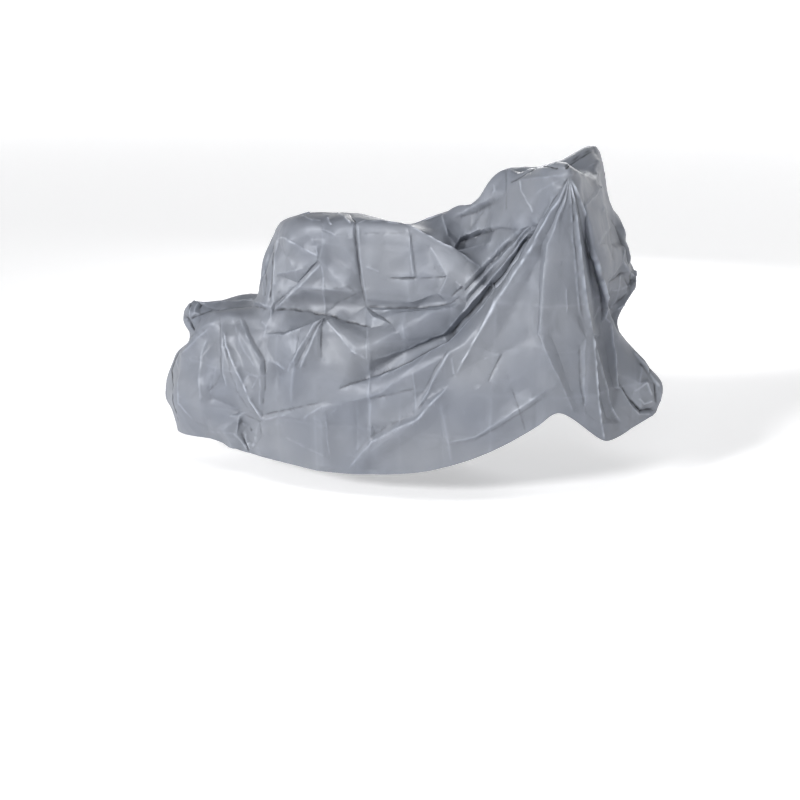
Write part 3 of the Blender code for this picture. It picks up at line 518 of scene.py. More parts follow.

# The layers of the film's relief: how far it is lifted, where it is finest, and its whitening and
# painted light: above zero where a crest is lighter, partly whitened film and partly a painted
# glint, and below zero where a crease is darkened with painted shade.
LIFT, FINE, WHITENING_GLINT_SHADE = range(3)
WHITENING_GLINT_SHADE_LAYER = "crease_whitening_glint_shade"

# A crease's whitening, painted glint and painted shade fade over TONE_REACH_MM from its line, and a
# core over 1 widens them: TONE_CORE for the thin crests, CRUMPLE_TONE_CORE for the random creases. The
# layer is 1 for a crest of FULL_TONE_CREST and never over MOST_TONE. Rounded creases and random ones
# have a strength of their own.
TONE_REACH_MM = 4.6
TONE_CORE = 1.3
FULL_TONE_CREST = 1.8
MOST_TONE = 1.6
ROUND_WHITENING_GLINT_SHADE = 0.5
CRUMPLE_WHITENING_GLINT_SHADE = 0.28
CRUMPLE_TONE_CORE = 1.2

# The far side isn't seen. It is given the near side's facets and creases, mirrored, moved by this many
# pixels and less strong.
FAR_SHIFT_PX = (5, -4)
FAR_SHARE = 0.85

# The folds left by the packing, which run over the whole film at these places.
PACK_FOLDS_X_CM = (-84, -67, -50, -33, -16, 1, 18, 36, 53, 70, 87)
PACK_FOLDS_Z_CM = (30, 47, 64, 81, 98)
PACK_FOLD_RISE_MM = 2.2
PACK_FOLD_REACH_MM = 24
PACK_FOLD_TONE = 0.25
PACK_FOLD_WOBBLE = 0.4
PACK_WOBBLE_LENGTHS_CM = (12, 7)
PACK_FOLD_LEAST = 0.35
PACK_FADE_LENGTHS_CM = (30, 18)

# Random crumple: flat three-cornered facets of several sizes, single creases, and stars of creases
# that meet in a point. The facets' lattice is warped by FACET_WARP of a cell, in waves
# FACET_WARP_LENGTHS cells long, and its corner heights repeat after FACET_TABLE cells. STAR_RAYS holds
# the fewest rays of a star, and one more than the most.
SEED = 7
FACET_COLUMNS = ("size_mm", "rise_mm")
FACETS = ((160, 8.0), (88, 5.0), (50, 2.0))
FACET_WARP = 0.28
FACET_WARP_LENGTHS = (2.7, 1.6)
FACET_TABLE = 64
CRUMPLES = 420
CRUMPLE_LENGTH_MM = (50, 170)
CRUMPLE_REACH_MM = (16, 50)
CRUMPLE_RISE_MM = (2.0, 6.5)
CRUMPLE_LEAN = 0.5
CRUMPLES_RAISED = 0.6
STARS = 40
STAR_RAYS = (3, 6)
STAR_RAY_SWING = 0.25
STAR_LENGTH_MM = (60, 150)
STAR_LEAN = 0.4

# A ray of a star starts this share of its length before the point, and grows over the other share.
RAY_LEAD = 0.1
RAY_GROWTH = 0.15

# A crease stays on its own face: whole where the normals agree by the sum of these, none below the first.
SAME_FACE_NONE = 0.2
SAME_FACE_SPAN = 0.4

# A normal that rises or falls by more than this counts as upright.
UPRIGHT = 0.9

# The two sides share their lift at the seams, over this many columns for the facets and for the whole.
FACET_SEAM_COLUMNS = 40
SEAM_COLUMNS = 18

# At the end each point moves this share of the way to the middle of its neighbours.
RELAX_SHARE = 0.15

# Where the film is smoother than elsewhere: (x, z) of the centre in centimetres, the radius, and the
# share of the crumple that is left there. Inside the share CALM_CORE of the radius all is calm.
CALM_COLUMNS = ("face", "centre", "radius", "left")
CALM_PLACES = (
    ("near", (0, 65), 150, .24),
    ("far", (0, 65), 150, .4),
)
CALM_CORE = 0.3

# Slow unevenness of the whole film, and how far a line strays by it. The sum of the waves of one length is
# divided by WAVE_PEAK, so that it stays between about -1 and 1.
WAVE_RISE_MM = 5.0
WAVE_LENGTHS_CM = (34, 23, 15)
WAVES_PER_LENGTH = 4
WAVE_PEAK = 2.5
WOBBLE_MM = 3.0

# A rounded crease: its crest's half width, the power of its flanks, and the thin line along its crest.
CREST_MM = 1.5
FLANK_POWER = 1.15
CREST_LINE_REACH = 10 * MM
CREST_LINE_SHARE = 0.35

# The film's surface: two tones spread by slow noise, creases made lighter by whitening and painted
# glint or darker by painted shade from their layer, edges by their sharpness (convex ones lighter,
# partly whitening and partly a painted highlight, concave ones darker with painted shade), uneven gloss,
# and two bumps. A noise is (scale, detail, roughness).
FILM_SPECULAR = 0.38
FILM_METALLIC = 0.12
FILM_TONES = ((0.35, (0.172, 0.187, 0.220, 1)), (0.68, (0.212, 0.225, 0.252, 1)))
FILM_TONE_NOISE = (3.2, 2, 0.5)
WHITENING_GLINT_SHADE_SHARE = 0.55
EDGE_WHITENING_GLINT_SHADE = {"From Min": 0.46, "From Max": 0.56, "To Min": 0.80, "To Max": 1.30}
GLOSS_NOISE = (9, 3, 0.5)
GLOSS_RANGE = {"To Min": 0.42, "To Max": 0.54}
CRINKLE_SCALE = 26
CRINKLE_BUMP = {"Strength": 0.15, "Distance": 4 * MM}
GRAIN_NOISE = (150, 3, 0.6)
GRAIN_BUMP = {"Strength": 0.25, "Distance": 1.0 * MM}

# The round stage: it bends up at its rim, and glows a little so that it stays pale.
STAGE_INNER = 4.0
STAGE_RADIUS = 22.0
STAGE_BEND = 4.0
STAGE_BEND_RINGS = 9
STAGE_HEIGHT = 8.0
STAGE_SIDES = 96
STAGE_COLOUR = (0.90, 0.90, 0.91, 1)
STAGE_ROUGHNESS = 0.9
STAGE_SPECULAR = 0.1
STAGE_GLOW = 0.40

# The lights: places in the tables' frame, in metres. The key is a sun, so its strength is in watts per
# square metre. A panel has a name, a place, a size and watts.
LIGHT_AIM = (0.0, 0.0, 0.7)
KEY_PLACE = (-2.6, -3.8, 2.9)
KEY_STRENGTH = 2.65
KEY_WIDTH_DEG = 10
PANELS = (
    ("left_panel", (-3.6, -2.2, 1.8), (0.5, 2.2), 25),
    ("top_panel", (0.9, -2.0, 3.7), (2.4, 0.6), 38),
    ("right_panel", (3.6, -1.4, 1.5), (0.4, 2.2), 3),
    ("back_panel", (0.2, 4.4, 2.4), (2.4, 1.4), 75),
)
SURROUND_COLOUR = (0.97, 0.98, 1.0, 1)
SURROUND_STRENGTH = 0.08


def clip01(value):
    """The value kept between 0 and 1."""
    return np.clip(value, 0, 1)


def ease(value):
    """Smooth step from 0 to 1."""
    value = clip01(value)
    return value * value * (3 - 2 * value)


def station_rows():
    """The near stations as dictionaries, one for each row of the table."""
    return [dict(zip(STATION_COLUMNS, row)) for row in NEAR_STATIONS]


def control_net():
    """The net's points, station by station, from the near hem over the spine to the far hem."""
    rows = station_rows()
    names = [row["name"] for row in rows]
    near = np.array([[row[level] for level in LEVELS] for row in rows], float)
    far = near * (1, -1, 1)
    for row in FAR_POINTS:
        point = dict(zip(FAR_COLUMNS, row))
        far[names.index(point["station"]), LEVELS.index(point["level"])] = point["point"]
    return np.concatenate([near[:, :0:-1], far], axis=1) * CM


def spline(points, cells, before=None, after=None):
    """Cubic curve through points along the first axis, with cells[k] steps from point k to k + 1.

    before and after are the points that would follow beyond the two ends.
    """
    if before is None:
        before = 2 * points[0] - points[1]
        after = 2 * points[-1] - points[-2]
    chain = np.concatenate([before[None], points, after[None]])
    gaps = np.linalg.norm(np.diff(chain, axis=0), axis=-1, keepdims=True)
    gaps = np.maximum(gaps, 1e-6) ** CHORD_POWER
    slopes = np.diff(chain, axis=0) / gaps
    blended = (slopes[:-1] * gaps[1:] + slopes[1:] * gaps[:-1]) / (gaps[1:] + gaps[:-1])
    tangents = blended * (1 - SPLINE_TENSION)
    curve = []
    for k, count in enumerate(cells):
        t = (np.arange(count) / count).reshape((-1,) + (1,) * (points.ndim - 1))
        leave = (t ** 3 - 2 * t ** 2 + t) * gaps[k + 1] * tangents[k]
        arrive = (t ** 3 - t ** 2) * gaps[k + 1] * tangents[k + 1]
        blend = 3 * t ** 2 - 2 * t ** 3
        curve.append((1 - blend) * points[k] + blend * points[k + 1] + leave + arrive)
    curve.append(points[-1:])
    return np.concatenate(curve)


def smooth_surface():
    """Grid of surface points: columns from rear to front, rows from near hem to far hem."""
    down = [ROWS_BELOW_LEVEL[level] for level in LEVELS[:-1]]
    sections = spline(np.moveaxis(control_net(), 1, 0), down[::-1] + down)
    sections = np.moveaxis(sections, 0, 1)
    columns = [row["cells"] * COLUMNS_PER_CELL for row in station_rows()[:-1]]
    # beyond each seam the surface goes on as the other side's next section
    return spline(sections, columns, before=sections[1, ::-1], after=sections[-2, ::-1])


def outward_normals(grid):
    """Unit normals of the grid, pointing out of the cover."""
    ringed = np.concatenate([grid[1:2, ::-1], grid, grid[-2:-1, ::-1]])
    normals = np.cross(ringed[2:] - ringed[:-2], np.gradient(grid, axis=1))
    lengths = np.linalg.norm(normals, axis=-1, keepdims=True)
    # the ends of the spine, where the rows meet in one point, have no normal and take UP
    return np.where(lengths > 1e-12, normals / np.maximum(lengths, 1e-12), UP)


def place_on_line(points, line):
    """Each point's signed distance from a line of several legs, and the share of the line it is at.

    The distance is above zero to the left of the line's way.
    """
    lengths = np.linalg.norm(np.diff(line, axis=0), axis=1)
    distance = np.full(points.shape[:-1], np.inf)
    share = np.zeros(points.shape[:-1])
    walked = 0.0
    for start, end, length in zip(line[:-1], line[1:], lengths):
        leg = end - start
        t = np.clip((points - start) @ leg / length ** 2, 0, 1)
        off = points - start - t[..., None] * leg
        gap = np.linalg.norm(off, axis=-1)
        side = np.where(leg[0] * off[..., 1] - leg[1] * off[..., 0] < 0, -1.0, 1.0)
        nearer = gap < np.abs(distance)
        distance = np.where(nearer, gap * side, distance)
        share = np.where(nearer, (walked + t * length) / lengths.sum(), share)
        walked += length
    return distance, share


def fold_lift(grid, normals, fold):
    """How far one main fold lifts each point of the grid along its normal."""
    axes, outward = FACES[fold["face"]]
    distance, share = place_on_line(grid[..., axes], np.array(fold["line"], float) * CM)
    facing = (normals @ np.array(outward, float) - FACING_NONE) / (FACING_FULL - FACING_NONE)
    weight = clip01(facing)
    if outward[1]:
        weight = weight * clip01(grid[..., 1] * outward[1] / SIDE_BLEND)
    ends = ease(share / fold["start"]) * ease((1 - share) / fold["end"])
    reach = fold["reach"] * MM
    height = clip01(1 - (np.hypot(distance, FOLD_CREST) - FOLD_CREST) / (FOLD_FLANK * reach)) ** FOLD_POWER
    share_kept = FOLD_SHARES.get(fold["name"], 1)
    return share_kept * fold["rise"] * MM * weight * ends * height


def folded(grid):
    """The grid with its main folds."""
    normals = outward_normals(grid)
    lift = sum(fold_lift(grid, normals, dict(zip(FOLD_COLUMNS, row))) for row in FOLDS)
    return grid + normals * lift[..., None]


def crest(distance, reach, lean=0.0):
    """Height from 0 to 1 of a crease: a sharp crest with hollow flanks, leaning to one side."""
    width = np.where(distance > 0, reach * (1 - lean), reach * (1 + lean))
    rounded = np.hypot(distance, CREST_MM * MM)
    flanks = clip01(1 - rounded / width) ** FLANK_POWER
    line = clip01(1 - rounded / CREST_LINE_REACH) ** FLANK_POWER
    return flanks * (1 - CREST_LINE_SHARE) + line * CREST_LINE_SHARE


def photo_axes():
    """The photograph's right, up and forward directions."""
    right = np.array((math.cos(AZIMUTH), math.sin(AZIMUTH), 0.0))
    level = np.array((-math.sin(AZIMUTH), math.cos(AZIMUTH), 0.0))
    forward = level * math.cos(DOWNWARD) + np.array((0.0, 0.0, -math.sin(DOWNWARD)))
    return right, np.cross(right, forward), forward


def photo_pixels(points):
    """Where points of the tables' frame, in metres, show in the photograph."""
    right, up, forward = photo_axes()
    sight = points - EYE
    depth = sight @ forward
    across = PICTURE_PX / 2 + FOCAL_PX * (sight @ right) / depth
    down = PICTURE_PX / 2 - FOCAL_PX * (sight @ up) / depth
    return np.stack([across, down], axis=-1)


def slow_waves(points, dice, lengths_cm):
    """Smooth random height from -1 to 1: a few slanted sine waves for each wave length."""
    height = np.zeros(points.shape[:-1])
    for length in lengths_cm:
        for _ in range(WAVES_PER_LENGTH):
            way = dice.normal(size=3)
            way /= np.linalg.norm(way)
            phase = dice.uniform(0, 2 * math.pi)
            height += np.sin(points @ way * 2 * math.pi / (length * CM) + phase)
    return height / (WAVE_PEAK * math.sqrt(len(lengths_cm)))


def near_line(pixels, line, reach):
    """The points near a line in the picture: where they are, how far from it, and how far along it."""
    inside = (pixels > line.min(axis=0) - reach) & (pixels < line.max(axis=0) + reach)
    near = np.nonzero(inside.all(axis=-1))
    distance, share = place_on_line(pixels[near], line)
    return near, distance, share


def add_whitening_glint_shade(relief, near, tone):
    """Give the points this whitening and painted glint (above zero) or painted shade (below zero) where it
    is stronger than the one they have.
    """
    old = relief[near + (WHITENING_GLINT_SHADE,)]
    relief[near + (WHITENING_GLINT_SHADE,)] = np.where(np.abs(tone) > np.abs(old), tone, old)


def whitening_glint_shade_width(gap_mm, core=1.0):
    """How much of a crease's whitening, painted glint or painted shade is left at this distance from its
    line. A core over 1 widens it.
    """
    return clip01(core - gap_mm / TONE_REACH_MM)


def rounded_creases(pixels, relief):
    """Add the rounded creases that the photograph shows."""
    for row in CREASES:
        crease = dict(zip(CREASE_COLUMNS, row))
        line = np.array(crease["line"], float)
        reach = CREASE_SPREAD * crease["reach"] * MM
        near, distance, share = near_line(pixels, line, CREASE_MARGIN * reach / (PIXEL_MM * MM))
        ends = ease(share / crease["start"]) * ease((1 - share) / crease["end"])
        height = crest(distance * PIXEL_MM * MM, reach, crease["lean"])
        relief[near + (LIFT,)] += crease["rise"] * MM * ends * height
        # a raised rounded crease gets whitening with a painted glint along its line, a sunk one painted
        # shade
        narrow = whitening_glint_shade_width(np.abs(distance) * PIXEL_MM)
        add_whitening_glint_shade(relief, near, np.sign(crease["rise"]) * ROUND_WHITENING_GLINT_SHADE * ends * narrow)


def facet_triangles():
    """The corners, heights and triangles that the straight creases cut the near side into."""
    corners, edges = [], []
    for row in FACET_LINES:
        line = dict(zip(FACET_LINE_COLUMNS, row))["corners"]
        edges += [(len(corners) + k, len(corners) + k + 1) for k in range(len(line) - 1)]
        corners += line
    table = np.array(corners, float)
    found = delaunay_2d_cdt([Vector(place) for place in table[:, :2]], edges, [], 0, 1e-3)
    points = np.array([tuple(point) for point in found[0]])
    heights = []
    for point, sources in zip(points, found[3]):
        if sources:
            heights.append(table[list(sources), 2].mean())
            continue
        # where two creases cross there is no corner of the table: the nearest three stand for it
        gaps = np.linalg.norm(table[:, :2] - point, axis=1)
        nearest = np.argsort(gaps)[:3]
        heights.append(np.average(table[nearest, 2], weights=1 / gaps[nearest]))
    return points, np.array(heights), found[2]


def flat_facets(pixels, relief):
    """Lift the flat facets that lie between the straight creases."""
    points, heights, triangles = facet_triangles()
    for triangle in triangles:
        triangle = list(triangle)
        if not heights[triangle].any():
            continue
        a, b, c = points[triangle]
        low, high = points[triangle].min(axis=0), points[triangle].max(axis=0)
        near = np.nonzero(((pixels >= low) & (pixels <= high)).all(axis=-1))
        off = pixels[near] - a
        area = (b[0] - a[0]) * (c[1] - a[1]) - (b[1] - a[1]) * (c[0] - a[0])
        to_b = (off[:, 0] * (c[1] - a[1]) - off[:, 1] * (c[0] - a[0])) / area
        to_c = (off[:, 1] * (b[0] - a[0]) - off[:, 0] * (b[1] - a[1])) / area
        inside = (to_b >= 0) & (to_c >= 0) & (to_b + to_c <= 1)
        near = (near[0][inside], near[1][inside])
        share = np.stack([1 - to_b - to_c, to_b, to_c], axis=-1)[inside]
        relief[near + (LIFT,)] = FACET_GAIN * MM * (share @ heights[triangle])


def straight_crests(pixels, patchy, slant, relief):
    """Add the thin crests, stronger where patchy is high and narrower where slant is low."""
    for row in FACET_LINES:
        crease = dict(zip(FACET_LINE_COLUMNS, row))
        if not crease["crest"]:
            continue
        line = np.array(crease["corners"], float)[:, :2]
        near, distance, share = near_line(pixels, line, CREST_MARGIN * CREST_REACH_MM / PIXEL_MM)
        ends = ease(share / CREST_ENDS) * ease((1 - share) / CREST_ENDS) * patchy[near]
        gap = np.abs(distance) * PIXEL_MM / slant[near]
        height = clip01(1 - gap / CREST_REACH_MM)
        relief[near + (LIFT,)] += CREST_GAIN * crease["crest"] * MM * ends * height
        fine = relief[near + (FINE,)]
        relief[near + (FINE,)] = np.where(gap < CREST_MARGIN * CREST_REACH_MM, 1, fine)
        # a raised crest gets whitening with a painted glint along its line, a sunk one painted shade
        strength = np.clip(crease["crest"] / FULL_TONE_CREST, -MOST_TONE, MOST_TONE)
        add_whitening_glint_shade(relief, near, strength * ends * whitening_glint_shade_width(gap, TONE_CORE))


def side_relief(grid, normals, dice, mirror, shift_px):
    """The relief of one side of the film, and how fully each point faces that side's camera."""
    sight = grid * mirror - EYE
    sight /= np.linalg.norm(sight, axis=-1, keepdims=True)
    facing = -(normals * mirror * sight).sum(-1)
    seen = ease((facing - SEEN_NONE) / (SEEN_FULL - SEEN_NONE))
    # a line that the camera sees at a slant would lie wide on the film, so it is made narrower there
    slant = np.clip(facing / SLANT_FULL, SLANT_LEAST, 1)
    wobble = np.stack([slow_waves(grid, dice, LINE_WOBBLE_LENGTHS_CM) for _ in range(2)], axis=-1)
    pixels = photo_pixels(grid * mirror) + wobble * WOBBLE_MM / PIXEL_MM * LINE_WOBBLE + shift_px
    patchy = clip01(PATCHY_MIDDLE + slow_waves(grid, dice, PATCHY_LENGTHS_CM) * PATCHY_SWING)
    relief = np.zeros(grid.shape[:2] + (3,))
    flat_facets(pixels, relief)
    straight_crests(pixels, patchy, slant, relief)
    rounded_creases(pixels, relief)
    # the whitening, painted glint and painted shade are kept only where the film faces the camera
    relief[..., WHITENING_GLINT_SHADE] *= ease((facing - TONE_NONE) / (TONE_FULL - TONE_NONE))
    return relief, seen


def hand_placed_relief(grid, normals, dice):
    """The relief that the photograph shows, and on the far side a mirrored and shifted copy of it."""
    near, near_seen = side_relief(grid, normals, dice, np.array((1, 1, 1)), np.zeros(2))
    far, far_seen = side_relief(grid, normals, dice, np.array((1, -1, 1)), np.array(FAR_SHIFT_PX))
    far_seen = FAR_SHARE * far_seen * (1 - near_seen)
    return near * near_seen[..., None] + far * far_seen[..., None]


def add_pack_folds(relief, grid, dice):
    """Add the straight folds that the film has kept from its packing."""
    wobble = slow_waves(grid, dice, PACK_WOBBLE_LENGTHS_CM) * WOBBLE_MM * MM * PACK_FOLD_WOBBLE
    strong = ease(0.5 + slow_waves(grid, dice, PACK_FADE_LENGTHS_CM))
    fade = PACK_FOLD_LEAST + (1 - PACK_FOLD_LEAST) * strong
    for axis, places in ((0, PACK_FOLDS_X_CM), (2, PACK_FOLDS_Z_CM)):
        for k, place in enumerate(places):
            sign = 1 if k % 2 else -1
            off = grid[..., axis] - place * CM + wobble
            relief[..., LIFT] += sign * PACK_FOLD_RISE_MM * MM * fade * crest(off, PACK_FOLD_REACH_MM * MM)
            # a lighter line along each pack fold, in the layer of whitening and painted glint
            add_whitening_glint_shade(relief, (...,), PACK_FOLD_TONE * fade * whitening_glint_shade_width(np.abs(off) / MM))


def calm(grid):
    """The share of the crumple that each point keeps."""
    keep = np.ones(grid.shape[:2])
    for row in CALM_PLACES:
        place = dict(zip(CALM_COLUMNS, row))
        axes, outward = FACES[place["face"]]
        off = grid[..., axes] - np.array(place["centre"], float) * CM
        inside = 1 - ease(np.linalg.norm(off, axis=-1) / (place["radius"] * CM) - CALM_CORE)
        inside = inside * (grid[..., 1] * outward[1] > 0)
        keep = np.minimum(keep, 1 - inside * (1 - place["left"]))
    return keep


def film_places(grid):
    """Where each point of the grid lies on the flat film: its distances along the rows and columns."""
    along = np.linalg.norm(np.diff(grid, axis=0), axis=-1).cumsum(axis=0)
    down = np.linalg.norm(np.diff(grid, axis=1), axis=-1).cumsum(axis=1)
    along = np.concatenate([np.zeros_like(along[:1]), along])
    down = np.concatenate([np.zeros_like(down[:, :1]), down], axis=1)
    along -= along[len(along) // 2]
    down -= down[:, down.shape[1] // 2][:, None]
    return np.stack([along, down], axis=-1)


def facet_height(places, grid, size, dice):
    """Height from -1 to 1 of flat facets of this size: a warped lattice with random corner heights."""
    turn = dice.uniform(0, math.pi)
    turned = places @ np.array(((math.cos(turn), math.sin(turn)), (-math.sin(turn), math.cos(turn))))
    lengths_cm = [size / CM * length for length in FACET_WARP_LENGTHS]
    warp = np.stack([slow_waves(grid, dice, lengths_cm) for _ in range(2)], axis=-1)
    lattice = turned / size + warp * FACET_WARP
    cell = np.floor(lattice).astype(int)
    across, along = np.moveaxis(lattice - cell, -1, 0)
    heights = dice.uniform(-1, 1, (FACET_TABLE, FACET_TABLE))
    slants = dice.random((FACET_TABLE, FACET_TABLE)) < 0.5

    def corner(right, up):
        return heights[(cell[..., 0] + right) % FACET_TABLE, (cell[..., 1] + up) % FACET_TABLE]

    a, b, c, d = corner(0, 0), corner(1, 0), corner(0, 1), corner(1, 1)
    # each cell is split along one of its two diagonals
    falling = np.where(
        across + along < 1, a + (b - a) * across + (c - a) * along,
        d + (c - d) * (1 - across) + (b - d) * (1 - along))
    rising = np.where(
        across > along, a + (b - a) * across + (d - b) * along,
        a + (d - c) * across + (c - a) * along)
    return np.where(slants[cell[..., 0] % FACET_TABLE, cell[..., 1] % FACET_TABLE], falling, rising)


def facet_lift(grid, dice):
    """Lift of the flat facets that crumpled film breaks into."""
    places = film_places(grid)
    lift = np.zeros(grid.shape[:2])
    for row in FACETS:
        facet = dict(zip(FACET_COLUMNS, row))
        lift += facet["rise_mm"] * MM * facet_height(places, grid, facet["size_mm"] * MM, dice)
    return seam_shared(lift, FACET_SEAM_COLUMNS)


def seam_shared(lift, columns):
    """The lift, shared by both sides at the two seams, where they share their points."""
    column = np.arange(len(lift))
    to_seam = np.minimum(column, column[::-1]) / columns
    shared = 0.5 * (1 - ease(to_seam))[:, None]
    return lift * (1 - shared) + lift[:, ::-1] * shared


def add_crease(relief, points, normals, crease):
    """Add a short crease to the relief of the points near it."""
    near = np.nonzero(np.abs(points - crease["centre"]).max(axis=1) < crease["length"])[0]
    off = points[near] - crease["centre"]
    along = off @ crease["way"]
    across = off @ np.cross(crease["normal"], crease["way"])
    if crease["both_ways"]:
        fade = ease(1 - np.abs(along) / crease["length"])
    else:
        share = along / crease["length"]
        fade = ease(1 - share) * ease((share + RAY_LEAD) / RAY_GROWTH)
    same_face = ease((normals[near] @ crease["normal"] - SAME_FACE_NONE) / SAME_FACE_SPAN)
    height = crest(across, crease["reach"], crease["lean"])
    relief[near, LIFT] += crease["rise"] * fade * same_face * height
    # a raised crease gets whitening with a painted glint along its line, a sunk one painted shade
    narrow = whitening_glint_shade_width(np.abs(across) / MM, CRUMPLE_TONE_CORE)
    tone = np.sign(crease["rise"]) * CRUMPLE_WHITENING_GLINT_SHADE * fade * same_face * narrow
    add_whitening_glint_shade(relief, (near,), tone)


def crumple_relief(grid, normals, dice):
    """The relief of the single creases and the stars."""
    points = grid.reshape(-1, 3)
    facing = normals.reshape(-1, 3)
    # a point stands for an area, so that the crumple is as dense on wide cells as on narrow ones
    area = np.linalg.norm(np.cross(np.gradient(grid, axis=0), np.gradient(grid, axis=1)), axis=-1)
    chance = (area / area.sum()).reshape(-1)
    relief = np.zeros((len(points), 3))

    def between(limits):
        return dice.uniform(*limits) * MM

    def turned(normal, angle):
        side = np.cross(normal, UP if abs(normal[2]) < UPRIGHT else (1.0, 0.0, 0.0))
        side /= np.linalg.norm(side)
        return side * math.cos(angle) + np.cross(normal, side) * math.sin(angle)

    for index in dice.choice(len(points), CRUMPLES, p=chance):
        add_crease(relief, points, facing, {
            "centre": points[index], "normal": facing[index], "both_ways": True,
            "way": turned(facing[index], dice.uniform(0, math.pi)),
            "length": between(CRUMPLE_LENGTH_MM) / 2, "reach": between(CRUMPLE_REACH_MM),
            "rise": between(CRUMPLE_RISE_MM) * (1 if dice.random() < CRUMPLES_RAISED else -1),
            "lean": dice.uniform(-CRUMPLE_LEAN, CRUMPLE_LEAN)})
    for index in dice.choice(len(points), STARS, p=chance):
        rays = dice.integers(*STAR_RAYS)
        turn = dice.uniform(0, 2 * math.pi)
        for ray in range(rays):
            angle = turn + 2 * math.pi * (ray + dice.uniform(-STAR_RAY_SWING, STAR_RAY_SWING)) / rays
            add_crease(relief, points, facing, {
                "centre": points[index], "normal": facing[index], "both_ways": False,
                "way": turned(facing[index], angle),
                "length": between(STAR_LENGTH_MM), "reach": between(CRUMPLE_REACH_MM),
                "rise": between(CRUMPLE_RISE_MM), "lean": dice.uniform(-STAR_LEAN, STAR_LEAN)})
    return relief.reshape(grid.shape[:2] + (3,))


def relaxed(grid):
    """The grid with each inner point moved part of the way to the middle of its neighbours."""
    middle = (grid[:-2, 1:-1] + grid[2:, 1:-1] + grid[1:-1, :-2] + grid[1:-1, 2:]) / 4
    grid = grid.copy()
    grid[1:-1, 1:-1] += RELAX_SHARE * (middle - grid[1:-1, 1:-1])
    return grid


def film_surface():
    """The whole film with all its relief, and the relief's own layers."""
    dice = np.random.default_rng(SEED)
    grid = folded(smooth_surface())
    normals = outward_normals(grid)
    keep = calm(grid)
    lift = slow_waves(grid, dice, WAVE_LENGTHS_CM) * WAVE_RISE_MM * MM * keep
    grid = grid + normals * lift[..., None]
    normals = outward_normals(grid)
    relief = hand_placed_relief(grid, normals, dice)
    add_pack_folds(relief, grid, dice)
    relief[..., LIFT] += facet_lift(grid, dice) * keep
    crumple = crumple_relief(grid, normals, dice) * keep[..., None]
    relief[..., LIFT] += crumple[..., LIFT]
    add_whitening_glint_shade(relief, (...,), crumple[..., WHITENING_GLINT_SHADE])
    relief[..., LIFT] = seam_shared(relief[..., LIFT], SEAM_COLUMNS)
    return relaxed(grid + normals * relief[..., LIFT, None]), relief


def film_mesh(name):
    """One open sheet, and where it is fine: the two sides are welded at the rear and front seams."""
    grid, relief = film_surface()
    columns, rows = grid.shape[:2]
    number = np.arange(columns * rows).reshape(columns, rows)
    for seam in (0, columns - 1):
        number[seam] = np.minimum(number[seam], number[seam, ::-1])
    corners = np.stack([number[:-1, :-1], number[1:, :-1], number[1:, 1:], number[:-1, 1:]], -1)
    used, faces = np.unique(corners.reshape(-1), return_inverse=True)
    points = grid.reshape(-1, 3)[used] - np.array(SUPPORT_CM) * CM
    mesh = bpy.data.meshes.new(name)
    mesh.from_pydata(points, [], faces.reshape(-1, 4))
    mesh.validate()
    # the layer of whitening, painted glint and painted shade is kept on the mesh for the film's colour
    tone = relief[..., WHITENING_GLINT_SHADE].reshape(-1)[used]
    mesh.attributes.new(WHITENING_GLINT_SHADE_LAYER, "FLOAT", "POINT").data.foreach_set("value", tone)
    return mesh, relief[..., FINE].reshape(-1)[used]


def thinned(cover, fine):
    """Thin out the film's mesh where it is flat, down to FILM_TRIANGLES, and least at fine creases."""
    group = cover.vertex_groups.new(name="thin_out")
    levels = np.round(fine * FINE_LEVELS).astype(int)
    for level in range(FINE_LEVELS + 1):
        members = np.nonzero(levels == level)[0].tolist()
        group.add(members, 1 - FINE_KEPT * level / FINE_LEVELS, "REPLACE")
    modifier = cover.modifiers.new("thin_out", "DECIMATE")
    modifier.ratio = FILM_TRIANGLES / (2 * len(cover.data.polygons))
    modifier.vertex_group = group.name
    modifier.vertex_group_factor = FINE_FACTOR
    graph = bpy.context.evaluated_depsgraph_get()
    mesh = bpy.data.meshes.new_from_object(cover.evaluated_get(graph))
    cover.modifiers.clear()
    cover.vertex_groups.clear()
    old = cover.data
    cover.data = mesh
    bpy.data.meshes.remove(old)
    mesh.name = "cover_film"
    mesh.shade_smooth()
    mesh.set_sharp_from_angle(angle=SHARP_ANGLE)


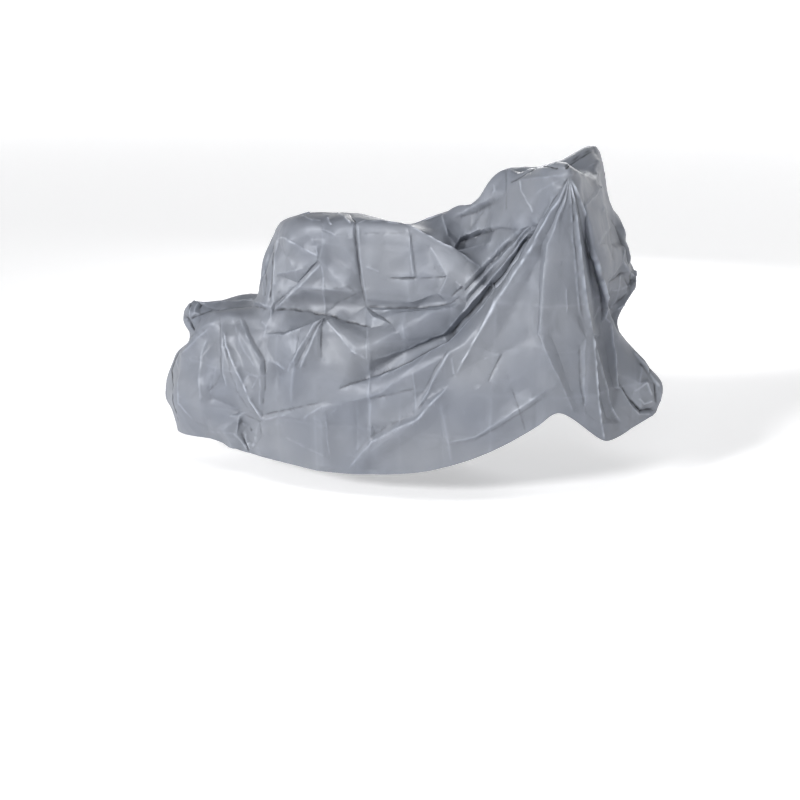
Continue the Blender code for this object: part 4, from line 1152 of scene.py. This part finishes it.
def film_material():
    """Silver-grey plastic film: semi-gloss, with fine wrinkles, slight changes of tone, and whitening,
    painted glint and painted shade along its creases and edges.
    """
    material = bpy.data.materials.new("silver_grey_film")
    material.use_nodes = True
    nodes, links = material.node_tree.nodes, material.node_tree.links

    def made(kind, values, linked, **settings):
        """A new node with these settings, values on some of its inputs and links to others."""
        node = nodes.new("ShaderNode" + kind)
        for key, value in settings.items():
            setattr(node, key, value)
        for key, value in values.items():
            node.inputs[key].default_value = value
        for key, output in linked.items():
            links.new(output, node.inputs[key])
        return node

    place = made("TexCoord", {}, {}).outputs["Object"]

    def noise(scale, detail, roughness):
        values = {"Scale": scale, "Detail": detail, "Roughness": roughness}
        return made("TexNoise", values, {"Vector": place}).outputs["Fac"]

    tone = made("ValToRGB", {}, {"Fac": noise(*FILM_TONE_NOISE)})
    for element, (position, colour) in zip(tone.color_ramp.elements, FILM_TONES):
        element.position = position
        element.color = colour
    # painted light: the colour is lighter on convex edges, partly whitening and partly a painted highlight,
    # and darker in concave hollows with painted shade
    edges = made("NewGeometry", {}, {}).outputs["Pointiness"]
    edge_whitening_glint_shade = made("MapRange", EDGE_WHITENING_GLINT_SHADE, {"Value": edges}).outputs["Result"]
    # the crease layer scales the colour: whitening and painted glint on crests, painted shade in creases
    crease = made("Attribute", {}, {}, attribute_name=WHITENING_GLINT_SHADE_LAYER).outputs["Fac"]
    whitening_glint_shade_scale = made("Math", {1: WHITENING_GLINT_SHADE_SHARE, 2: 1}, {0: crease}, operation="MULTIPLY_ADD")
    whitening_glint_shade_factor = made("Math", {}, {0: edge_whitening_glint_shade, 1: whitening_glint_shade_scale.outputs["Value"]}, operation="MULTIPLY")
    colour_with_whitening_glint_shade = made("VectorMath", {}, {0: tone.outputs["Color"], "Scale": whitening_glint_shade_factor.outputs["Value"]},
                  operation="SCALE")

    gloss = made("MapRange", GLOSS_RANGE, {"Value": noise(*GLOSS_NOISE)})

    cells = made("TexVoronoi", {"Scale": CRINKLE_SCALE}, {"Vector": place}).outputs["Distance"]
    crinkle = made("Bump", CRINKLE_BUMP, {"Height": cells}).outputs["Normal"]
    grain = made("Bump", GRAIN_BUMP, {"Height": noise(*GRAIN_NOISE), "Normal": crinkle})

    shader = nodes["Principled BSDF"]
    shader.inputs["Specular IOR Level"].default_value = FILM_SPECULAR
    shader.inputs["Metallic"].default_value = FILM_METALLIC
    links.new(colour_with_whitening_glint_shade.outputs["Vector"], shader.inputs["Base Color"])
    links.new(gloss.outputs["Result"], shader.inputs["Roughness"])
    links.new(grain.outputs["Normal"], shader.inputs["Normal"])
    return material


def make_cover():
    """The draped cover."""
    mesh, fine = film_mesh("cover_film")
    mesh.materials.append(film_material())
    cover = bpy.data.objects.new("cover_film", mesh)
    bpy.context.scene.collection.objects.link(cover)
    thinned(cover, fine)
    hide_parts("cover")
    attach(cover, "root")


def in_row(point):
    """A point of the tables' frame, in metres, in the row's frame."""
    return np.array(point) - np.array(SUPPORT_CM) * CM


def make_camera():
    """The camera at the photograph's place and angle."""
    data = bpy.data.cameras.new("camera")
    data.sensor_width = SENSOR_MM
    data.lens = FOCAL_PX / PICTURE_PX * SENSOR_MM
    camera = bpy.data.objects.new("camera", data)
    camera.location = in_row(EYE)
    camera.rotation_euler = (math.radians(90) - DOWNWARD, 0, AZIMUTH)
    bpy.context.scene.collection.objects.link(camera)
    bpy.context.scene.camera = camera


def make_stage():
    """A round pale floor that curves up into a low wall, far outside the views."""
    material = bpy.data.materials.new("pale_floor")
    material.use_nodes = True
    shader = material.node_tree.nodes["Principled BSDF"]
    shader.inputs["Base Color"].default_value = STAGE_COLOUR
    shader.inputs["Roughness"].default_value = STAGE_ROUGHNESS
    shader.inputs["Specular IOR Level"].default_value = STAGE_SPECULAR
    shader.inputs["Emission Color"].default_value = (1, 1, 1, 1)
    shader.inputs["Emission Strength"].default_value = STAGE_GLOW
    turns = np.arange(STAGE_SIDES) * 2 * math.pi / STAGE_SIDES
    bend = np.linspace(0, math.pi / 2, STAGE_BEND_RINGS)
    rim = STAGE_RADIUS + STAGE_BEND * np.sin(bend)
    radii = np.concatenate([[0.0, STAGE_INNER], rim, [STAGE_RADIUS + STAGE_BEND]])
    heights = np.concatenate([[0.0, 0.0], STAGE_BEND * (1 - np.cos(bend)), [STAGE_HEIGHT]])
    rings = np.stack([
        radii[:, None] * np.cos(turns), radii[:, None] * np.sin(turns),
        np.repeat(heights[:, None] - SUPPORT_CM[2] * CM, STAGE_SIDES, axis=1)], axis=-1)
    faces = []
    for ring in range(len(radii) - 1):
        for side in range(STAGE_SIDES):
            after = (side + 1) % STAGE_SIDES
            faces.append([ring * STAGE_SIDES + side, ring * STAGE_SIDES + after,
                          (ring + 1) * STAGE_SIDES + after, (ring + 1) * STAGE_SIDES + side])
    mesh = bpy.data.meshes.new("floor")
    mesh.from_pydata(rings.reshape(-1, 3).tolist(), [], faces)
    mesh.shade_smooth()
    mesh.materials.append(material)
    floor = bpy.data.objects.new("floor", mesh)
    bpy.context.scene.collection.objects.link(floor)


def aimed(data, place):
    """Put a light at a place, looking at the cover's middle."""
    light = bpy.data.objects.new(data.name, data)
    light.location = in_row(place)
    way = Vector(in_row(LIGHT_AIM) - in_row(place))
    light.rotation_euler = way.to_track_quat("-Z", "Y").to_euler()
    bpy.context.scene.collection.objects.link(light)


def make_lights():
    """Soft studio light: a wide key from the upper left, soft panels, and a pale surround."""
    key = bpy.data.lights.new("key", "SUN")
    key.energy = KEY_STRENGTH
    key.angle = math.radians(KEY_WIDTH_DEG)
    aimed(key, KEY_PLACE)
    for name, place, size, watts in PANELS:
        panel = bpy.data.lights.new(name, "AREA")
        panel.shape = "RECTANGLE"
        panel.size, panel.size_y = size
        panel.energy = watts
        aimed(panel, place)
    world = bpy.data.worlds.new("surround")
    world.use_nodes = True
    background = world.node_tree.nodes["Background"]
    background.inputs["Color"].default_value = SURROUND_COLOUR
    background.inputs["Strength"].default_value = SURROUND_STRENGTH
    bpy.context.scene.world = world
    bpy.context.scene.view_settings.view_transform = "Standard"


make_camera()
make_stage()
make_lights()
make_cover()

bpy.context.view_layer.update()
